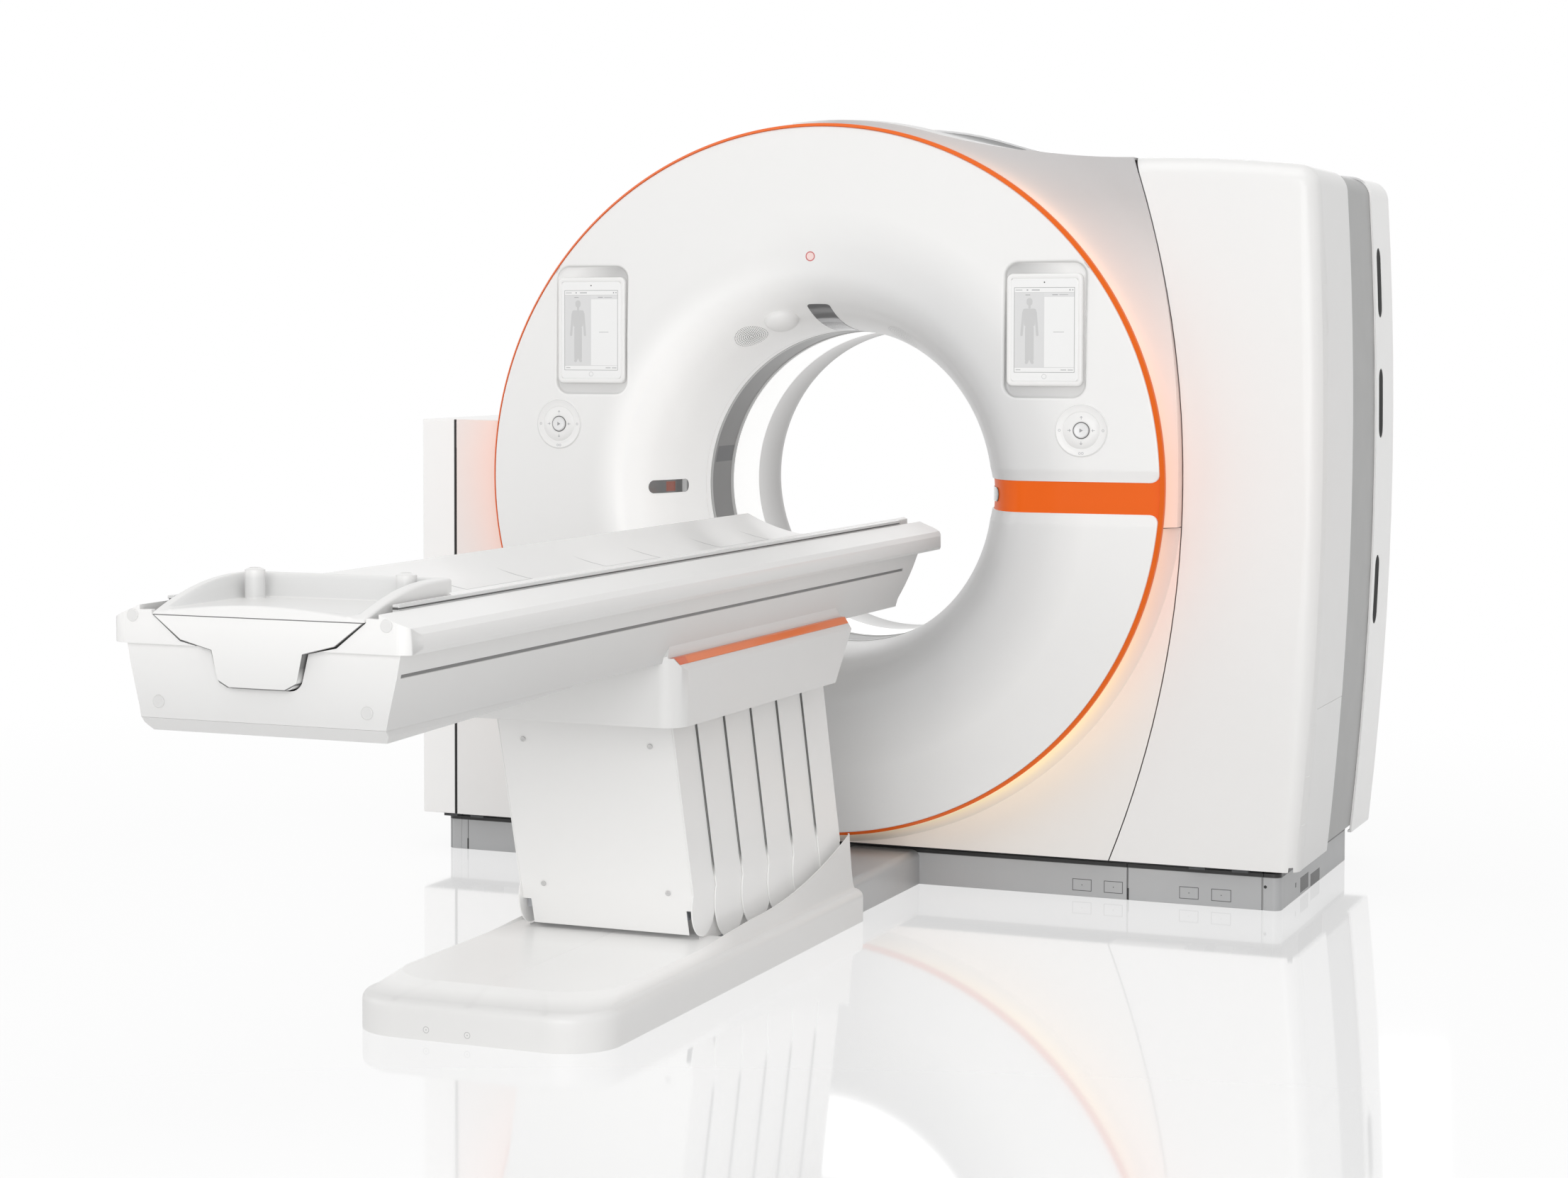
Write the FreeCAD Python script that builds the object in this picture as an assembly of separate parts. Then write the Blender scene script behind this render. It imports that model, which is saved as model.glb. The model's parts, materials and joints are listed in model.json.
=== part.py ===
import FreeCAD, Part
import math
import os

# Computed-tomography scanner: a ring gantry with its rotor, and a patient table.
# Millimetres. X runs across the gantry, Y along the bore, Z up. The origin is on the
# floor, straight below the middle of the scan plane. The table stands towards -Y.

V = FreeCAD.Vector
os.makedirs("parts", exist_ok=True)

# ---------------------------------------------------------------- gantry sizes
bore_radius = 410.0           # inside of the patient tunnel
rim_radius = 908.0            # outside of the lit rim
rim_rise = 28.0               # rim centre above the bore axis
plinth_height = 92.0
rim_floor_gap = 38.0          # lowest point of the rim above the plinth
axis_height = plinth_height + rim_floor_gap + rim_radius - rim_rise
rim_height = axis_height + rim_rise
cover_wall = 6.0              # moulded cover thickness
seat_gap = 0.3                # clearance where one cover seats in another
seam_gap = 3.0                # open joint between neighbouring covers

face_y = -586.0               # foremost ring of the front cover
face_flat_radius = 640.0      # the face is flat out to here
rim_drop = 16.0               # how far the face falls back at the rim
flare_radial = 150.0          # funnel: radial half axis
throat_y = -244.0             # where the funnel meets the tunnel
face_back_y = -562.0          # back of the front cover's face
throat_wall = 20.0            # front cover thickness at the throat
rim_width = 12.0              # lit rim, radially
rim_front_y = -572.0
rim_back_y = -545.0
fascia_y = -481.0             # front plane of the side covers
shoulder_slope = 27.0         # widening of the drum from rim to fascia
cove_reach = 150.0            # radial reach of the upper cove
shoulder_drape = 95.0         # depth of the shoulder's return over the drum
drape_height = 60.0           # the return starts this far under the roof's knee
ledge_lap = 5.0

side_back_y = -116.0          # back edge of the right side cover
rear_strip_y = 205.0          # front edge of the rear cover
back_y = 445.0                # back plane of the gantry
cover_lap = 15.0              # length that a grey band slips into its neighbour

left_shoulder_width = 156.0   # from the rim to the open joint at the left
left_cover_width = 101.0
left_gap_x = -rim_radius - left_shoulder_width
left_x = left_gap_x - left_cover_width
left_rise = 170.0             # flat top of the left cover, above the bore axis
left_top = axis_height + left_rise
drum_margin = 30.0            # housing over the rotor, beyond the rim
drum_radius = rim_radius + drum_margin
drum_leave_angle = 72.0       # where the roof leaves the drum, from +X
crown_split_x = -76.0         # joint at the crown between the shoulders
tower_inset = 100.0           # top of the curved seam, inside the rim's side
tower_left_x = rim_radius - tower_inset
tower_rise = 835.0            # top of the curved seam, above the bore axis
tower_top = axis_height + tower_rise
tower_width = 444.0
tower_right_x = tower_left_x + tower_width
tower_fall = 30.0             # fall of the roof towards the right corner
tower_right_top = tower_top - tower_fall
side_bulge = 24.0             # widest point of the bowed side, beyond the roof corner
side_bulge_x = tower_right_x + side_bulge
side_bulge_rise = 140.0       # height of the widest point, above the bore axis
side_bulge_z = axis_height + side_bulge_rise
side_tuck = 55.0              # side at the bottom edge, inside the widest point
side_foot_x = side_bulge_x - side_tuck
seam_mid_x = rim_radius + shoulder_slope
seam_sweep = 179.0            # bottom of the curved seam, inside its middle
seam_foot_x = seam_mid_x - seam_sweep
cover_bottom = plinth_height + 12.0
tower_edge_radius = 45.0
shoulder_joint_drop = 72.0    # level joint of the shoulders, below the bore axis
shoulder_joint_z = axis_height - shoulder_joint_drop
service_top = 500.0           # top of the lower service panel
service_front_y = -425.0
service_gap = 0.5
service_depth = 60.0
front_room = 200.0            # length of tools that reach past the front covers

# tunnel
tunnel_wall = 8.0
dark_ring_back = -103.0
window_back = 103.0
rear_flare_y = 195.0
rear_flare_radial = 246.0

# vents in the rear cover's right side
vent_rises = (-269.0, 220.0, 535.0)   # centres, above the bore axis
vent_height = 181.0
vent_width = 60.0
vent_y = 268.0

# plinth
plinth_inset = 50.0           # under the outer covers
plinth_left = left_x + plinth_inset
plinth_right = side_foot_x - plinth_inset
plinth_front = fascia_y + plinth_inset
plinth_back = 400.0
plinth_skin = 3.0
post_size = 42.0
frame_top = plinth_height + 4.0
front_joint_x = seam_foot_x + 32.0
panel_joint = 1.0
cover_post_width = 40.0
cover_post_top = left_top - 80.0

# things set into the front cover
tablet_x = 612.0
tablet_rise = 411.0           # above the bore axis
tablet_z = axis_height + tablet_rise
tablet_width = 193.0
tablet_height = 277.0
tablet_thickness = 15.0
tablet_radius = 14.0
tablet_stand_out = 4.0
pocket_width = 204.0
pocket_height = 333.0
pocket_radius = 22.0
screen_width = 152.0
screen_height = 208.0
screen_depth = 0.8
panel_x = 706.0
panel_rise = 165.0            # above the bore axis
panel_z = axis_height + panel_rise
panel_radius = 64.5
panel_thickness = 6.0
panel_stand_out = 1.2
button_radius = 18.0
button_height = 9.0
button_bore_gap = 0.3
button_stand_out = 4.0
band_half_height = 39.0
band_inner_x = 400.0
band_recess = 5.0
band_thickness = 5.0
laser_x = 441.0
laser_length = 104.0
laser_height = 34.0
inlay_depth = 4.0
inlay_proud = 0.5
slot_end = 20.0               # funnel slots stop this far ahead of the throat
right_laser_x = 427.0
right_laser_length = 34.0
top_window_width = 62.0
top_window_low = 424.0        # radius of the lower end, from the bore axis
top_window_high = 508.0
dome_angle = 106.0            # round the bore from +X
dome_place = 452.0            # radius from the bore axis
dome_radius = 34.0
dome_height = 16.0
dome_sink = 12.0              # length cut away where the dome meets the funnel

# rotor and its bearing
rotor_radius = rim_radius - 58.0
rotor_plate_y = 40.0
rotor_plate = 20.0
hub_inner = 465.0
hub_outer = 515.0
hub_back_y = 160.0
bearing_clearance = 0.05
stator_half_width = rotor_radius - 70.0
stator_crown_half = 330.0
stator_rise = rotor_radius + 30.0
stator_front_y = 80.0
stator_back_y = 140.0
focus_radius = 610.0
tube_length = 270.0
tube_radius = 95.0
collimator_size = 150.0
collimator_height = 90.0
beam_slot = 36.0
detector_radius = 485.0       # detector face, from the bore axis
detector_thickness = 70.0
detector_half_angle = 26.0
detector_width = 170.0
generator_size = (320.0, 240.0, 230.0)
generator_angle = 187.0
cooler_size = (260.0, 230.0, 210.0)
cooler_angle = -10.0
component_radius = 640.0

# ---------------------------------------------------------------- table sizes
table_base_half = 283.0
table_base_front = -2510.0
table_base_back = -955.0
base_corner_radius = 115.0
base_back_radius = 14.0
base_skirt_height = 78.0
base_edge_radius = 20.0
base_top = 100.0
pad_inset = 24.0
fairing_inner = 246.0
fairing_low = 118.0
fairing_high = 211.0
fairing_start_y = -1505.0
fairing_sink = 5.0            # how far the fairings reach into the skirt
tongue_length = 90.0          # ramp at the front of the fairings
well_front = -1745.0
well_end_wall = 10.0
well_porch = 135.0            # shallow part in front of the well, level with the pad
well_floor = 70.0

link_lean = 17.0              # degrees from upright, top towards the foot end
link_pitch = 148.0            # distance between neighbouring link pivots
link_count = 6
link_pivot_y = -1784.0        # first pivot
link_pivot_z = 170.0
saddle_pivot_z = 625.0
slat_outer_x = 208.0
slat_thickness = 3.2
slat_gap = 0.8
slat_lap = 14.0
slat_foot_radius = 92.0
end_foot_radius = 66.0
slat_tip = 18.0
pivot_pin_radius = 8.0
plate_offset = 46.0           # front plate before the first pivot line
plate_thickness = 3.0
plate_drop = 50.0             # plate's lower edge below the pivot line
plate_notch_half = 186.0
plate_notch_top = 8.0
bearer_outer = 202.0          # side plates that carry the link pins
bearer_thickness = 10.0
bearer_top = 195.0
bearer_nose = 28.0
arm_outer = 180.0
arm_thickness = 24.0
arm_half_width = 26.0
shaft_radius = 18.0

saddle_half = 285.0
saddle_bottom = 597.0
saddle_shoulder = 714.0
saddle_foot_y = -2105.0
saddle_head_top_y = -1060.0
saddle_head_low_y = -1169.0
saddle_corner_radius = 50.0
saddle_inner = 238.0
saddle_roof = 716.0
saddle_bevel_x = 268.0
saddle_bevel_z = 741.0
saddle_pad_x = 258.0
saddle_pad_top = 775.0
saddle_pad_foot_y = -2070.0
saddle_pad_head_y = -1095.0
inlay_strip_height = 11.0
inlay_strip_width = 8.0
inlay_inset_foot = 60.0
inlay_inset_head = 12.0

trough_foot_y = -3295.0
trough_head_y = -537.0
trough_head_low_y = -632.0
trough_bottom = 731.0
trough_top = 863.0
trough_half_low = 232.0
trough_half_slot = 268.0
trough_half_top = 275.0
slot_z = 824.0
slot_height = 7.0
slot_depth = 3.0
slot_head_y = -640.0
trough_wall = 6.0
pan_foot_z = 706.0
pan_rake = 24.0
pan_head_y = -2540.0
pan_tip = 3.0                 # thickness at the thin end
pan_lip = 2.0                 # wider than the trough's floor on each side
pan_bevel = 14.0

rail_top_half = 307.0
rail_side_top = 906.0
rail_ridge_z = 932.0
rail_inner = 240.0
rail_foot_y = -3308.0
rail_head_y = -425.0
rail_corner_radius = 38.0
rail_end_wall = 12.0
rail_cap_drop = 8.0

board_half = 222.0
board_rim_z = 945.0
board_rim_x = 214.0
board_low_z = 890.0
board_thickness = 16.0
board_foot_y = -3000.0
board_head_y = -470.0
runner_x = 150.0
runner_width = 20.0
guide_top = 868.0
guide_gap = 0.3
accessory_foot_y = -3225.0
accessory_head_y = -560.0
accessory_width = 13.0
accessory_low = 928.0
accessory_high = 942.0

plug_top_half = board_half - 9.0
plug_top_z = 917.0
plug_shoulder_half = 155.0
plug_shoulder_z = 873.0
plug_neck_half = 92.0
plug_neck_z = 857.0
plug_low_half = 76.0
plug_low_z = 793.0
plug_low_radius = 26.0
plug_front_y = -3311.0
plug_grip_depth = 60.0
plug_gap = 2.5
tray_back_y = -2985.0
tray_rim_z = 975.0
tray_front_z = 948.0
tray_arch_side = 926.0
tray_arch_top = 990.0
tray_wall = 26.0
tray_rim_bevel = 8.0
tray_ramp = 80.0              # length of the front wall's slope
tray_floor = 932.0
tray_post_x = plug_top_half - 56.0
tray_post_radius = 19.0
tray_post_top = 984.0

duct_half = 95.0
duct_x = 150.0
duct_height = plinth_height - 4.0
duct_edge_radius = 20.0


# ---------------------------------------------------------------- shape helpers
def save(name, solids):
    """Write one node: a solid or a group of separate solids."""
    shape = Part.Compound(solids) if len(solids) > 1 else solids[0]
    shape.exportStep("parts/" + name + ".step")
    print(name, len(solids), round(shape.Volume / 1e6, 3), shape.isValid())


def box(x, y, z):
    """Block between two values on each axis."""
    return Part.makeBox(x[1] - x[0], y[1] - y[0], z[1] - z[0], V(x[0], y[0], z[0]))


def cylinder(centre, radius, direction, length):
    return Part.makeCylinder(radius, length, centre, direction)


def tangent_arc(start, direction, end):
    """Arc from start, setting out along direction, that ends at end."""
    chord = end - start
    along = direction.normalize()
    across = chord - along * chord.dot(along)
    across.normalize()
    radius = chord.dot(chord) / (2 * chord.dot(across))
    centre = start + across * radius
    middle = (start + end) * 0.5 - centre
    middle.normalize()
    if chord.dot(along) < 0:
        middle = middle * -1
    return Part.Arc(start, centre + middle * radius, end).toShape()


def wire_of(edges):
    return Part.Wire(Part.__sortEdges__(edges))


def polygon(points):
    return Part.Face(Part.makePolygon(points + [points[0]]))


def across(face, y):
    """Push a face that lies in XZ along Y, between two values of y."""
    solid = face.extrude(V(0, y[1] - y[0], 0))
    solid.translate(V(0, y[0] - face.BoundBox.YMin, 0))
    return solid


def along_x(points, x):
    """Push an outline of (y, z) points along X, between two values of x."""
    face = polygon([V(x[0], p[0], p[1]) for p in points])
    return face.extrude(V(x[1] - x[0], 0, 0))


def turned(edges, height):
    """Turn a profile of (radius, y) edges about a Y axis at a height."""
    solid = Part.Face(wire_of(edges)).revolve(V(0, 0, 0), V(0, 1, 0), 360)
    solid.translate(V(0, 0, height))
    return solid


def line(a, b):
    return Part.makeLine(V(a[0], a[1], 0), V(b[0], b[1], 0))


def ring(inner, outer, y, height):
    """Plain ring about a Y axis."""
    low, high = y
    corners = [(inner, low), (outer, low), (outer, high), (inner, high)]
    edges = [line(corners[i], corners[(i + 1) % 4]) for i in range(4)]
    return turned(edges, height)


def rounded_plate(centre, size, radius, y):
    """Upright plate with rounded corners, between two values of y."""
    half_x, half_z = size[0] / 2, size[1] / 2
    block = box((centre[0] - half_x, centre[0] + half_x), y, (centre[1] - half_z, centre[1] + half_z))
    edges = [e for e in block.Edges if abs(e.tangentAt(e.FirstParameter).y) > 0.9]
    return block.makeFillet(radius, edges)


def edges_at(shape, axis, x=None, y=None, z=None):
    """Straight edges along an axis whose middle lies at the given places."""
    found = []
    for edge in shape.Edges:
        middle = edge.valueAt((edge.FirstParameter + edge.LastParameter) / 2)
        along = abs(getattr(edge.tangentAt(edge.FirstParameter), axis)) > 0.9
        wanted = ((x, middle.x), (y, middle.y), (z, middle.z))
        if along and all(w is None or abs(w - m) < 0.01 for w, m in wanted):
            found.append(edge)
    return found


def mirror_x(shape):
    return shape.mirror(V(0, 0, 0), V(1, 0, 0))


# ---------------------------------------------------------------- gantry outline
def point(x, z):
    return V(x, 0, z)


def roof_leave():
    """Point where the roof leaves the drum, and its direction there."""
    angle = math.radians(drum_leave_angle)
    at = point(drum_radius * math.cos(angle), rim_height + drum_radius * math.sin(angle))
    return at, point(math.sin(angle), -math.cos(angle))


def roof_edges():
    """Roof from the drum to the right-hand corner: a hollow sweep, then a gentle fall."""
    start, direction = roof_leave()
    knee = point(tower_left_x, tower_top)
    end = roof_end()[0]
    hollow = tangent_arc(start, direction, knee)
    return hollow, tangent_arc(knee, point(1, 0), end)


def roof_end():
    """Point where the rounding of the roof's right corner starts, and the direction there."""
    fall = tower_top - tower_right_top
    radius = ((tower_right_x - tower_left_x) ** 2 + fall**2) / (2 * fall)
    reach = tower_right_x - tower_edge_radius - tower_left_x
    depth = math.sqrt(radius**2 - reach**2)
    return point(tower_left_x + reach, tower_top - radius + depth), point(depth, -reach)


def side_x(z):
    """Bowed side of the gantry at a height."""
    bow = side_bulge_x - side_foot_x
    radius = ((side_bulge_z - cover_bottom) ** 2 + bow**2) / (2 * bow)
    return side_bulge_x - radius + math.sqrt(radius**2 - (z - side_bulge_z) ** 2)


def side_edges():
    """Rounding of the roof's right corner, then the bowed side down to the bottom edge."""
    start, heading = roof_end()
    low = tower_right_top - tower_edge_radius
    top = point(side_x(low), low)
    corner = tangent_arc(start, heading, top)
    foot = point(side_foot_x, cover_bottom)
    return corner, Part.Arc(top, point(side_bulge_x, side_bulge_z), foot).toShape()


def drum_edge():
    """Drum arc from the left ledge over the crown to where the roof leaves it."""
    drop = left_top - rim_height
    start = point(-math.sqrt(drum_radius**2 - drop**2), left_top)
    return Part.Arc(start, point(0, rim_height + drum_radius), roof_leave()[0]).toShape(), start


def gantry_face():
    """Whole front view of the covers, in XZ."""
    arc, ledge = drum_edge()
    hollow, fall = roof_edges()
    corner, side = side_edges()
    left_low = point(left_x, cover_bottom)
    left_high = point(left_x, left_top)
    edges = [arc, hollow, fall, corner, side]
    edges.append(Part.makeLine(point(side_foot_x, cover_bottom), left_low))
    edges.append(Part.makeLine(left_low, left_high))
    edges.append(Part.makeLine(left_high, ledge))
    return Part.Face(wire_of(edges))


def tower_face():
    """Front view of the right side cover, bounded by the curved seam."""
    knee = point(tower_left_x, tower_top)
    foot = point(seam_foot_x, cover_bottom)
    seam = Part.Arc(foot, point(seam_mid_x, axis_height), knee).toShape()
    edges = [seam, roof_edges()[1], side_edges()[0], side_edges()[1]]
    edges.append(Part.makeLine(point(side_foot_x, cover_bottom), foot))
    return Part.Face(wire_of(edges))


def shell_strip(face, inset, y):
    """Wall that follows an outline, set in by inset."""
    outer = face.makeOffset2D(-inset) if inset > 0 else face
    inner = face.makeOffset2D(-inset - cover_wall)
    return across(outer.cut(inner), y)


# ---------------------------------------------------------------- front cover
def funnel_arc(shift):
    """Quarter ellipse of the funnel in XY, moved out of its surface by shift."""
    centre = V(bore_radius + flare_radial, throat_y, 0)
    axial = throat_y - face_y + shift
    ellipse = Part.Ellipse(centre + V(0, -axial, 0), centre + V(-flare_radial - shift, 0, 0), centre)
    return Part.ArcOfEllipse(ellipse, 0, math.pi / 2).toShape()


def face_slope():
    return rim_drop / (rim_radius - face_flat_radius)


def face_at(radius):
    """Y of the cover's face at a radius from the bore axis."""
    return face_y + max(0.0, radius - face_flat_radius) * face_slope()


def face_lines(shift):
    """Flat and falling zones of the face in XY, moved out of the surface by shift."""
    lip = (bore_radius + flare_radial, face_y - shift)
    bend = (face_flat_radius, face_y - shift)
    far = rim_radius + 2 * rim_rise
    return [line(lip, bend), line(bend, (far, face_at(far) - shift))]


def profile_strip(proud, depth, x):
    """Band of the cover's profile between two depths, cut to a range of x, in XY."""
    edges = [funnel_arc(proud), funnel_arc(-depth)] + face_lines(proud) + face_lines(-depth)
    ends = []
    for shift in (proud, -depth):
        far = rim_radius + 2 * rim_rise
        ends.append(((bore_radius - shift, throat_y), (far, face_at(far) - shift)))
    edges.append(line(ends[0][0], ends[1][0]))
    edges.append(line(ends[0][1], ends[1][1]))
    face = Part.Face(wire_of(edges))
    limit = Part.makePlane(x[1] - x[0], 4 * front_room, V(x[0], face_y - front_room, 0))
    return face.common(limit)


def strip_solid(proud, depth, x, half_height):
    """Level band set in the right-hand half of the cover, at the height of the bore axis."""
    solid = profile_strip(proud, depth, x).extrude(V(0, 0, 2 * half_height))
    solid.translate(V(0, 0, axis_height - half_height))
    return solid


def turned_about_bore(shape, angle):
    """Copy of a shape turned about the bore axis, from +X towards +Z."""
    copy = shape.copy()
    copy.rotate(V(0, 0, axis_height), V(0, 1, 0), -angle)
    return copy


def rim_disc(radius):
    return cylinder(V(0, face_y - front_room, rim_height), radius, V(0, 1, 0), 4 * front_room)


def pocket(side):
    centre = (side * tablet_x, tablet_z)
    y = (face_y - 20, tablet_back_y() + seat_gap)
    return rounded_plate(centre, (pocket_width, pocket_height), pocket_radius, y)


def tablet_front_y():
    return face_at(math.hypot(tablet_x, tablet_z - axis_height)) - tablet_stand_out


def tablet_back_y():
    return tablet_front_y() + tablet_thickness


def panel_front_y():
    return face_at(math.hypot(panel_x, panel_z - axis_height)) - panel_stand_out


def panel_seat(side):
    """Recess for a control panel and the bore for its button."""
    start = V(side * panel_x, face_y - 20, panel_z)
    back = panel_front_y() + panel_thickness + seat_gap
    recess = cylinder(start, panel_radius + seat_gap, V(0, 1, 0), back - start.y)
    bore = cylinder(start, button_radius + button_bore_gap, V(0, 1, 0), face_back_y - start.y + 1)
    return recess.fuse(bore)


def band_window():
    """Slot across the front cover for the orange band."""
    z = (axis_height - band_half_height, axis_height + band_half_height)
    return box((band_inner_x, rim_radius), (face_y - 20, throat_y + 1), z)


def laser_prism(grow):
    """Slot for the laser window at the left of the funnel."""
    x = (-laser_x - laser_length / 2 - grow, -laser_x + laser_length / 2 + grow)
    z = (axis_height - laser_height / 2 - grow, axis_height + laser_height / 2 + grow)
    return box(x, (face_y - 30, throat_y - slot_end), z)


def crown_prism(grow):
    """Slot for the dark window at the crown of the funnel."""
    half = top_window_width / 2 + grow
    z = (axis_height + top_window_low - grow, axis_height + top_window_high + grow)
    return box((-half, half), (face_y - 30, throat_y - slot_end), z)


def front_cover():
    """Domed disc with the funnel: profile turned about the bore axis, trimmed round the rim centre."""
    far = rim_radius + 2 * rim_rise
    lip = bore_radius + flare_radial
    throat = bore_radius + throat_wall
    edges = [funnel_arc(0)] + face_lines(0)
    edges.append(line((far, face_at(far)), (far, face_back_y)))
    edges.append(line((far, face_back_y), (lip, face_back_y)))
    edges.append(line((lip, face_back_y), (throat, throat_y)))
    edges.append(line((throat, throat_y), (bore_radius, throat_y)))
    cover = turned(edges, axis_height).common(rim_disc(rim_radius - rim_width - seat_gap))
    for side in (-1, 1):
        cover = cover.cut(pocket(side)).cut(panel_seat(side))
    return cover.cut(band_window()).cut(laser_prism(0)).cut(crown_prism(0))


def funnel_fittings():
    """Laser windows, crown window and dome, which lie in the funnel's surface."""
    laser = strip_solid(inlay_proud, inlay_depth, laser_span(), laser_height / 2 - seat_gap)
    x = (top_window_low + seat_gap, top_window_high - seat_gap)
    crown = strip_solid(inlay_proud, inlay_depth, x, top_window_width / 2 - seat_gap)
    ahead = box((0, rim_radius), (face_y - 50, throat_y - slot_end - seat_gap), (0, 2 * axis_height))
    laser = turned_about_bore(laser.common(ahead), 180)
    return [laser, turned_about_bore(crown, 90), right_laser(), signal_dome()]


def laser_span():
    half = laser_length / 2 - seat_gap
    return (laser_x - half, laser_x + half)


def right_laser():
    """Small window on the inner end of the orange band."""
    proud = inlay_depth - band_recess
    x = (right_laser_x - right_laser_length / 2, right_laser_x + right_laser_length / 2)
    return strip_solid(proud, band_recess - seat_gap, x, laser_height / 2)


def orange_band():
    """Band across the cover at the right, recessed in its slot."""
    x = (band_inner_x, rim_radius)
    band = strip_solid(-band_recess, band_recess + band_thickness, x, band_half_height - seat_gap)
    ahead = box((band_inner_x - 50, rim_radius), (face_y - 50, throat_y - seat_gap), (0, 2 * axis_height))
    return band.common(ahead).common(rim_disc(rim_radius - rim_width - seat_gap))


def tablet(side):
    front = tablet_front_y()
    centre = (side * tablet_x, tablet_z)
    size = (tablet_width, tablet_height)
    body = rounded_plate(centre, size, tablet_radius, (front, front + tablet_thickness))
    return body.cut(box_about(centre, (screen_width, screen_height), (front - 5, front + screen_depth)))


def box_about(centre, size, y):
    half_x, half_z = size[0] / 2, size[1] / 2
    x = (centre[0] - half_x, centre[0] + half_x)
    return box(x, y, (centre[1] - half_z, centre[1] + half_z))


def control_panel(side):
    """Round panel with a hole for its start button."""
    centre = V(side * panel_x, panel_front_y(), panel_z)
    disc = cylinder(centre, panel_radius, V(0, 1, 0), panel_thickness)
    return disc.cut(cylinder(centre, button_radius + button_bore_gap, V(0, 1, 0), panel_thickness))


def start_button(side):
    front = V(side * panel_x, panel_front_y() - button_stand_out, panel_z)
    return cylinder(front, button_radius, V(0, 1, 0), button_height)


def signal_dome():
    """Flat round dome that stands on the funnel, square to its surface."""
    inward = (bore_radius + flare_radial - dome_place) / flare_radial
    height = math.sqrt(1 - inward**2)
    place = V(dome_place, throat_y - (throat_y - face_y) * height, axis_height)
    normal = V(-inward / flare_radial, -height / (throat_y - face_y), 0)
    normal.normalize()
    ball_radius = (dome_radius**2 + dome_height**2) / (2 * dome_height)
    ball = Part.makeSphere(ball_radius, place + normal * (dome_height - ball_radius))
    foot = place - normal * dome_sink
    cap = ball.common(cylinder(foot, dome_radius, normal, dome_height + dome_sink))
    return turned_about_bore(cap.cut(funnel_body()), dome_angle)


def funnel_body():
    """Funnel with a thick wall, grown by the seat gap, to which the dome is fitted."""
    lip = bore_radius + flare_radial
    edges = [funnel_arc(seat_gap), line((lip, face_y - seat_gap), (2 * lip, face_y - seat_gap))]
    edges.append(line((2 * lip, face_y - seat_gap), (2 * lip, throat_y)))
    edges.append(line((2 * lip, throat_y), (bore_radius - seat_gap, throat_y)))
    return turned(edges, axis_height)


def rim_light():
    return ring(rim_radius - rim_width, rim_radius, (rim_front_y, rim_back_y), rim_height)


# ---------------------------------------------------------------- shoulder covers
def shoulder_skin(coved):
    """Block from the rim back to the fascia, then a flat wall outwards."""
    start = V(rim_radius - 5, rim_back_y + seat_gap, 0)
    far = V(side_bulge_x + front_room, fascia_y, 0)
    sweep = cove_reach if coved else shoulder_slope
    knee = V(rim_radius + sweep, fascia_y, 0)
    wall = V(0, cover_wall, 0)
    foot = V(start.x, fascia_y + cover_wall, 0)
    surface = tangent_arc(knee, V(-1, 0, 0), start) if coved else Part.makeLine(start, knee)
    edges = [surface, Part.makeLine(knee, far), Part.makeLine(far, far + wall)]
    edges.append(Part.makeLine(far + wall, foot))
    edges.append(Part.makeLine(foot, start))
    return turned(edges, rim_height)


def shoulder_region(x, z):
    """Part of the front view left of the curved seam, within a box, as a block."""
    outline = gantry_face().cut(tower_face().makeOffset2D(seam_gap))
    y = (fascia_y - front_room, fascia_y + front_room)
    return across(outline, y).common(box(x, y, z))


def roof_strip(inset, y, x, low):
    """Wall under the roof outline, kept within a range of x and above a height."""
    limit = box(x, (y[0] - 1, y[1] + 1), (low, roof_limit()))
    return shell_strip(gantry_face(), inset, y).common(limit)


def roof_limit():
    """Height above the whole gantry."""
    return rim_height + drum_radius + front_room


def drape_span():
    return (fascia_y + 1, fascia_y + shoulder_drape)


def upper_shoulder_cover():
    """Upper right shoulder with its return over the drum."""
    left = crown_split_x + seat_gap / 2
    z = (shoulder_joint_z + seat_gap / 2, roof_limit())
    front = shoulder_skin(True).common(shoulder_region((left, side_bulge_x), z))
    drape = roof_strip(0, drape_span(), (left, tower_left_x - seam_gap), tower_top - drape_height)
    return front.fuse(drape).removeSplitter()


def lower_shoulder_cover():
    x = (crown_split_x + seat_gap / 2, side_bulge_x)
    z = (cover_bottom, shoulder_joint_z - seat_gap / 2)
    return shoulder_skin(False).common(shoulder_region(x, z))


def left_shoulder_cover():
    """Left shoulder from the open joint to the crown, with its return over the drum."""
    right = crown_split_x - seat_gap / 2
    x = (left_gap_x + seam_gap, right)
    front = shoulder_skin(False).common(shoulder_region(x, (cover_bottom, roof_limit())))
    drape = roof_strip(0, drape_span(), (drum_edge()[1].x - ledge_lap, right), left_top + 1)
    return front.fuse(drape).removeSplitter()


def roof_cover():
    """Grey roof over the drum, between the shoulders and the rear cover."""
    y = (fascia_y + shoulder_drape - cover_lap, rear_strip_y + cover_lap)
    x = (drum_edge()[1].x - ledge_lap, tower_left_x - seam_gap)
    return roof_strip(cover_wall + seat_gap, y, x, left_top + 1)


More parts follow.
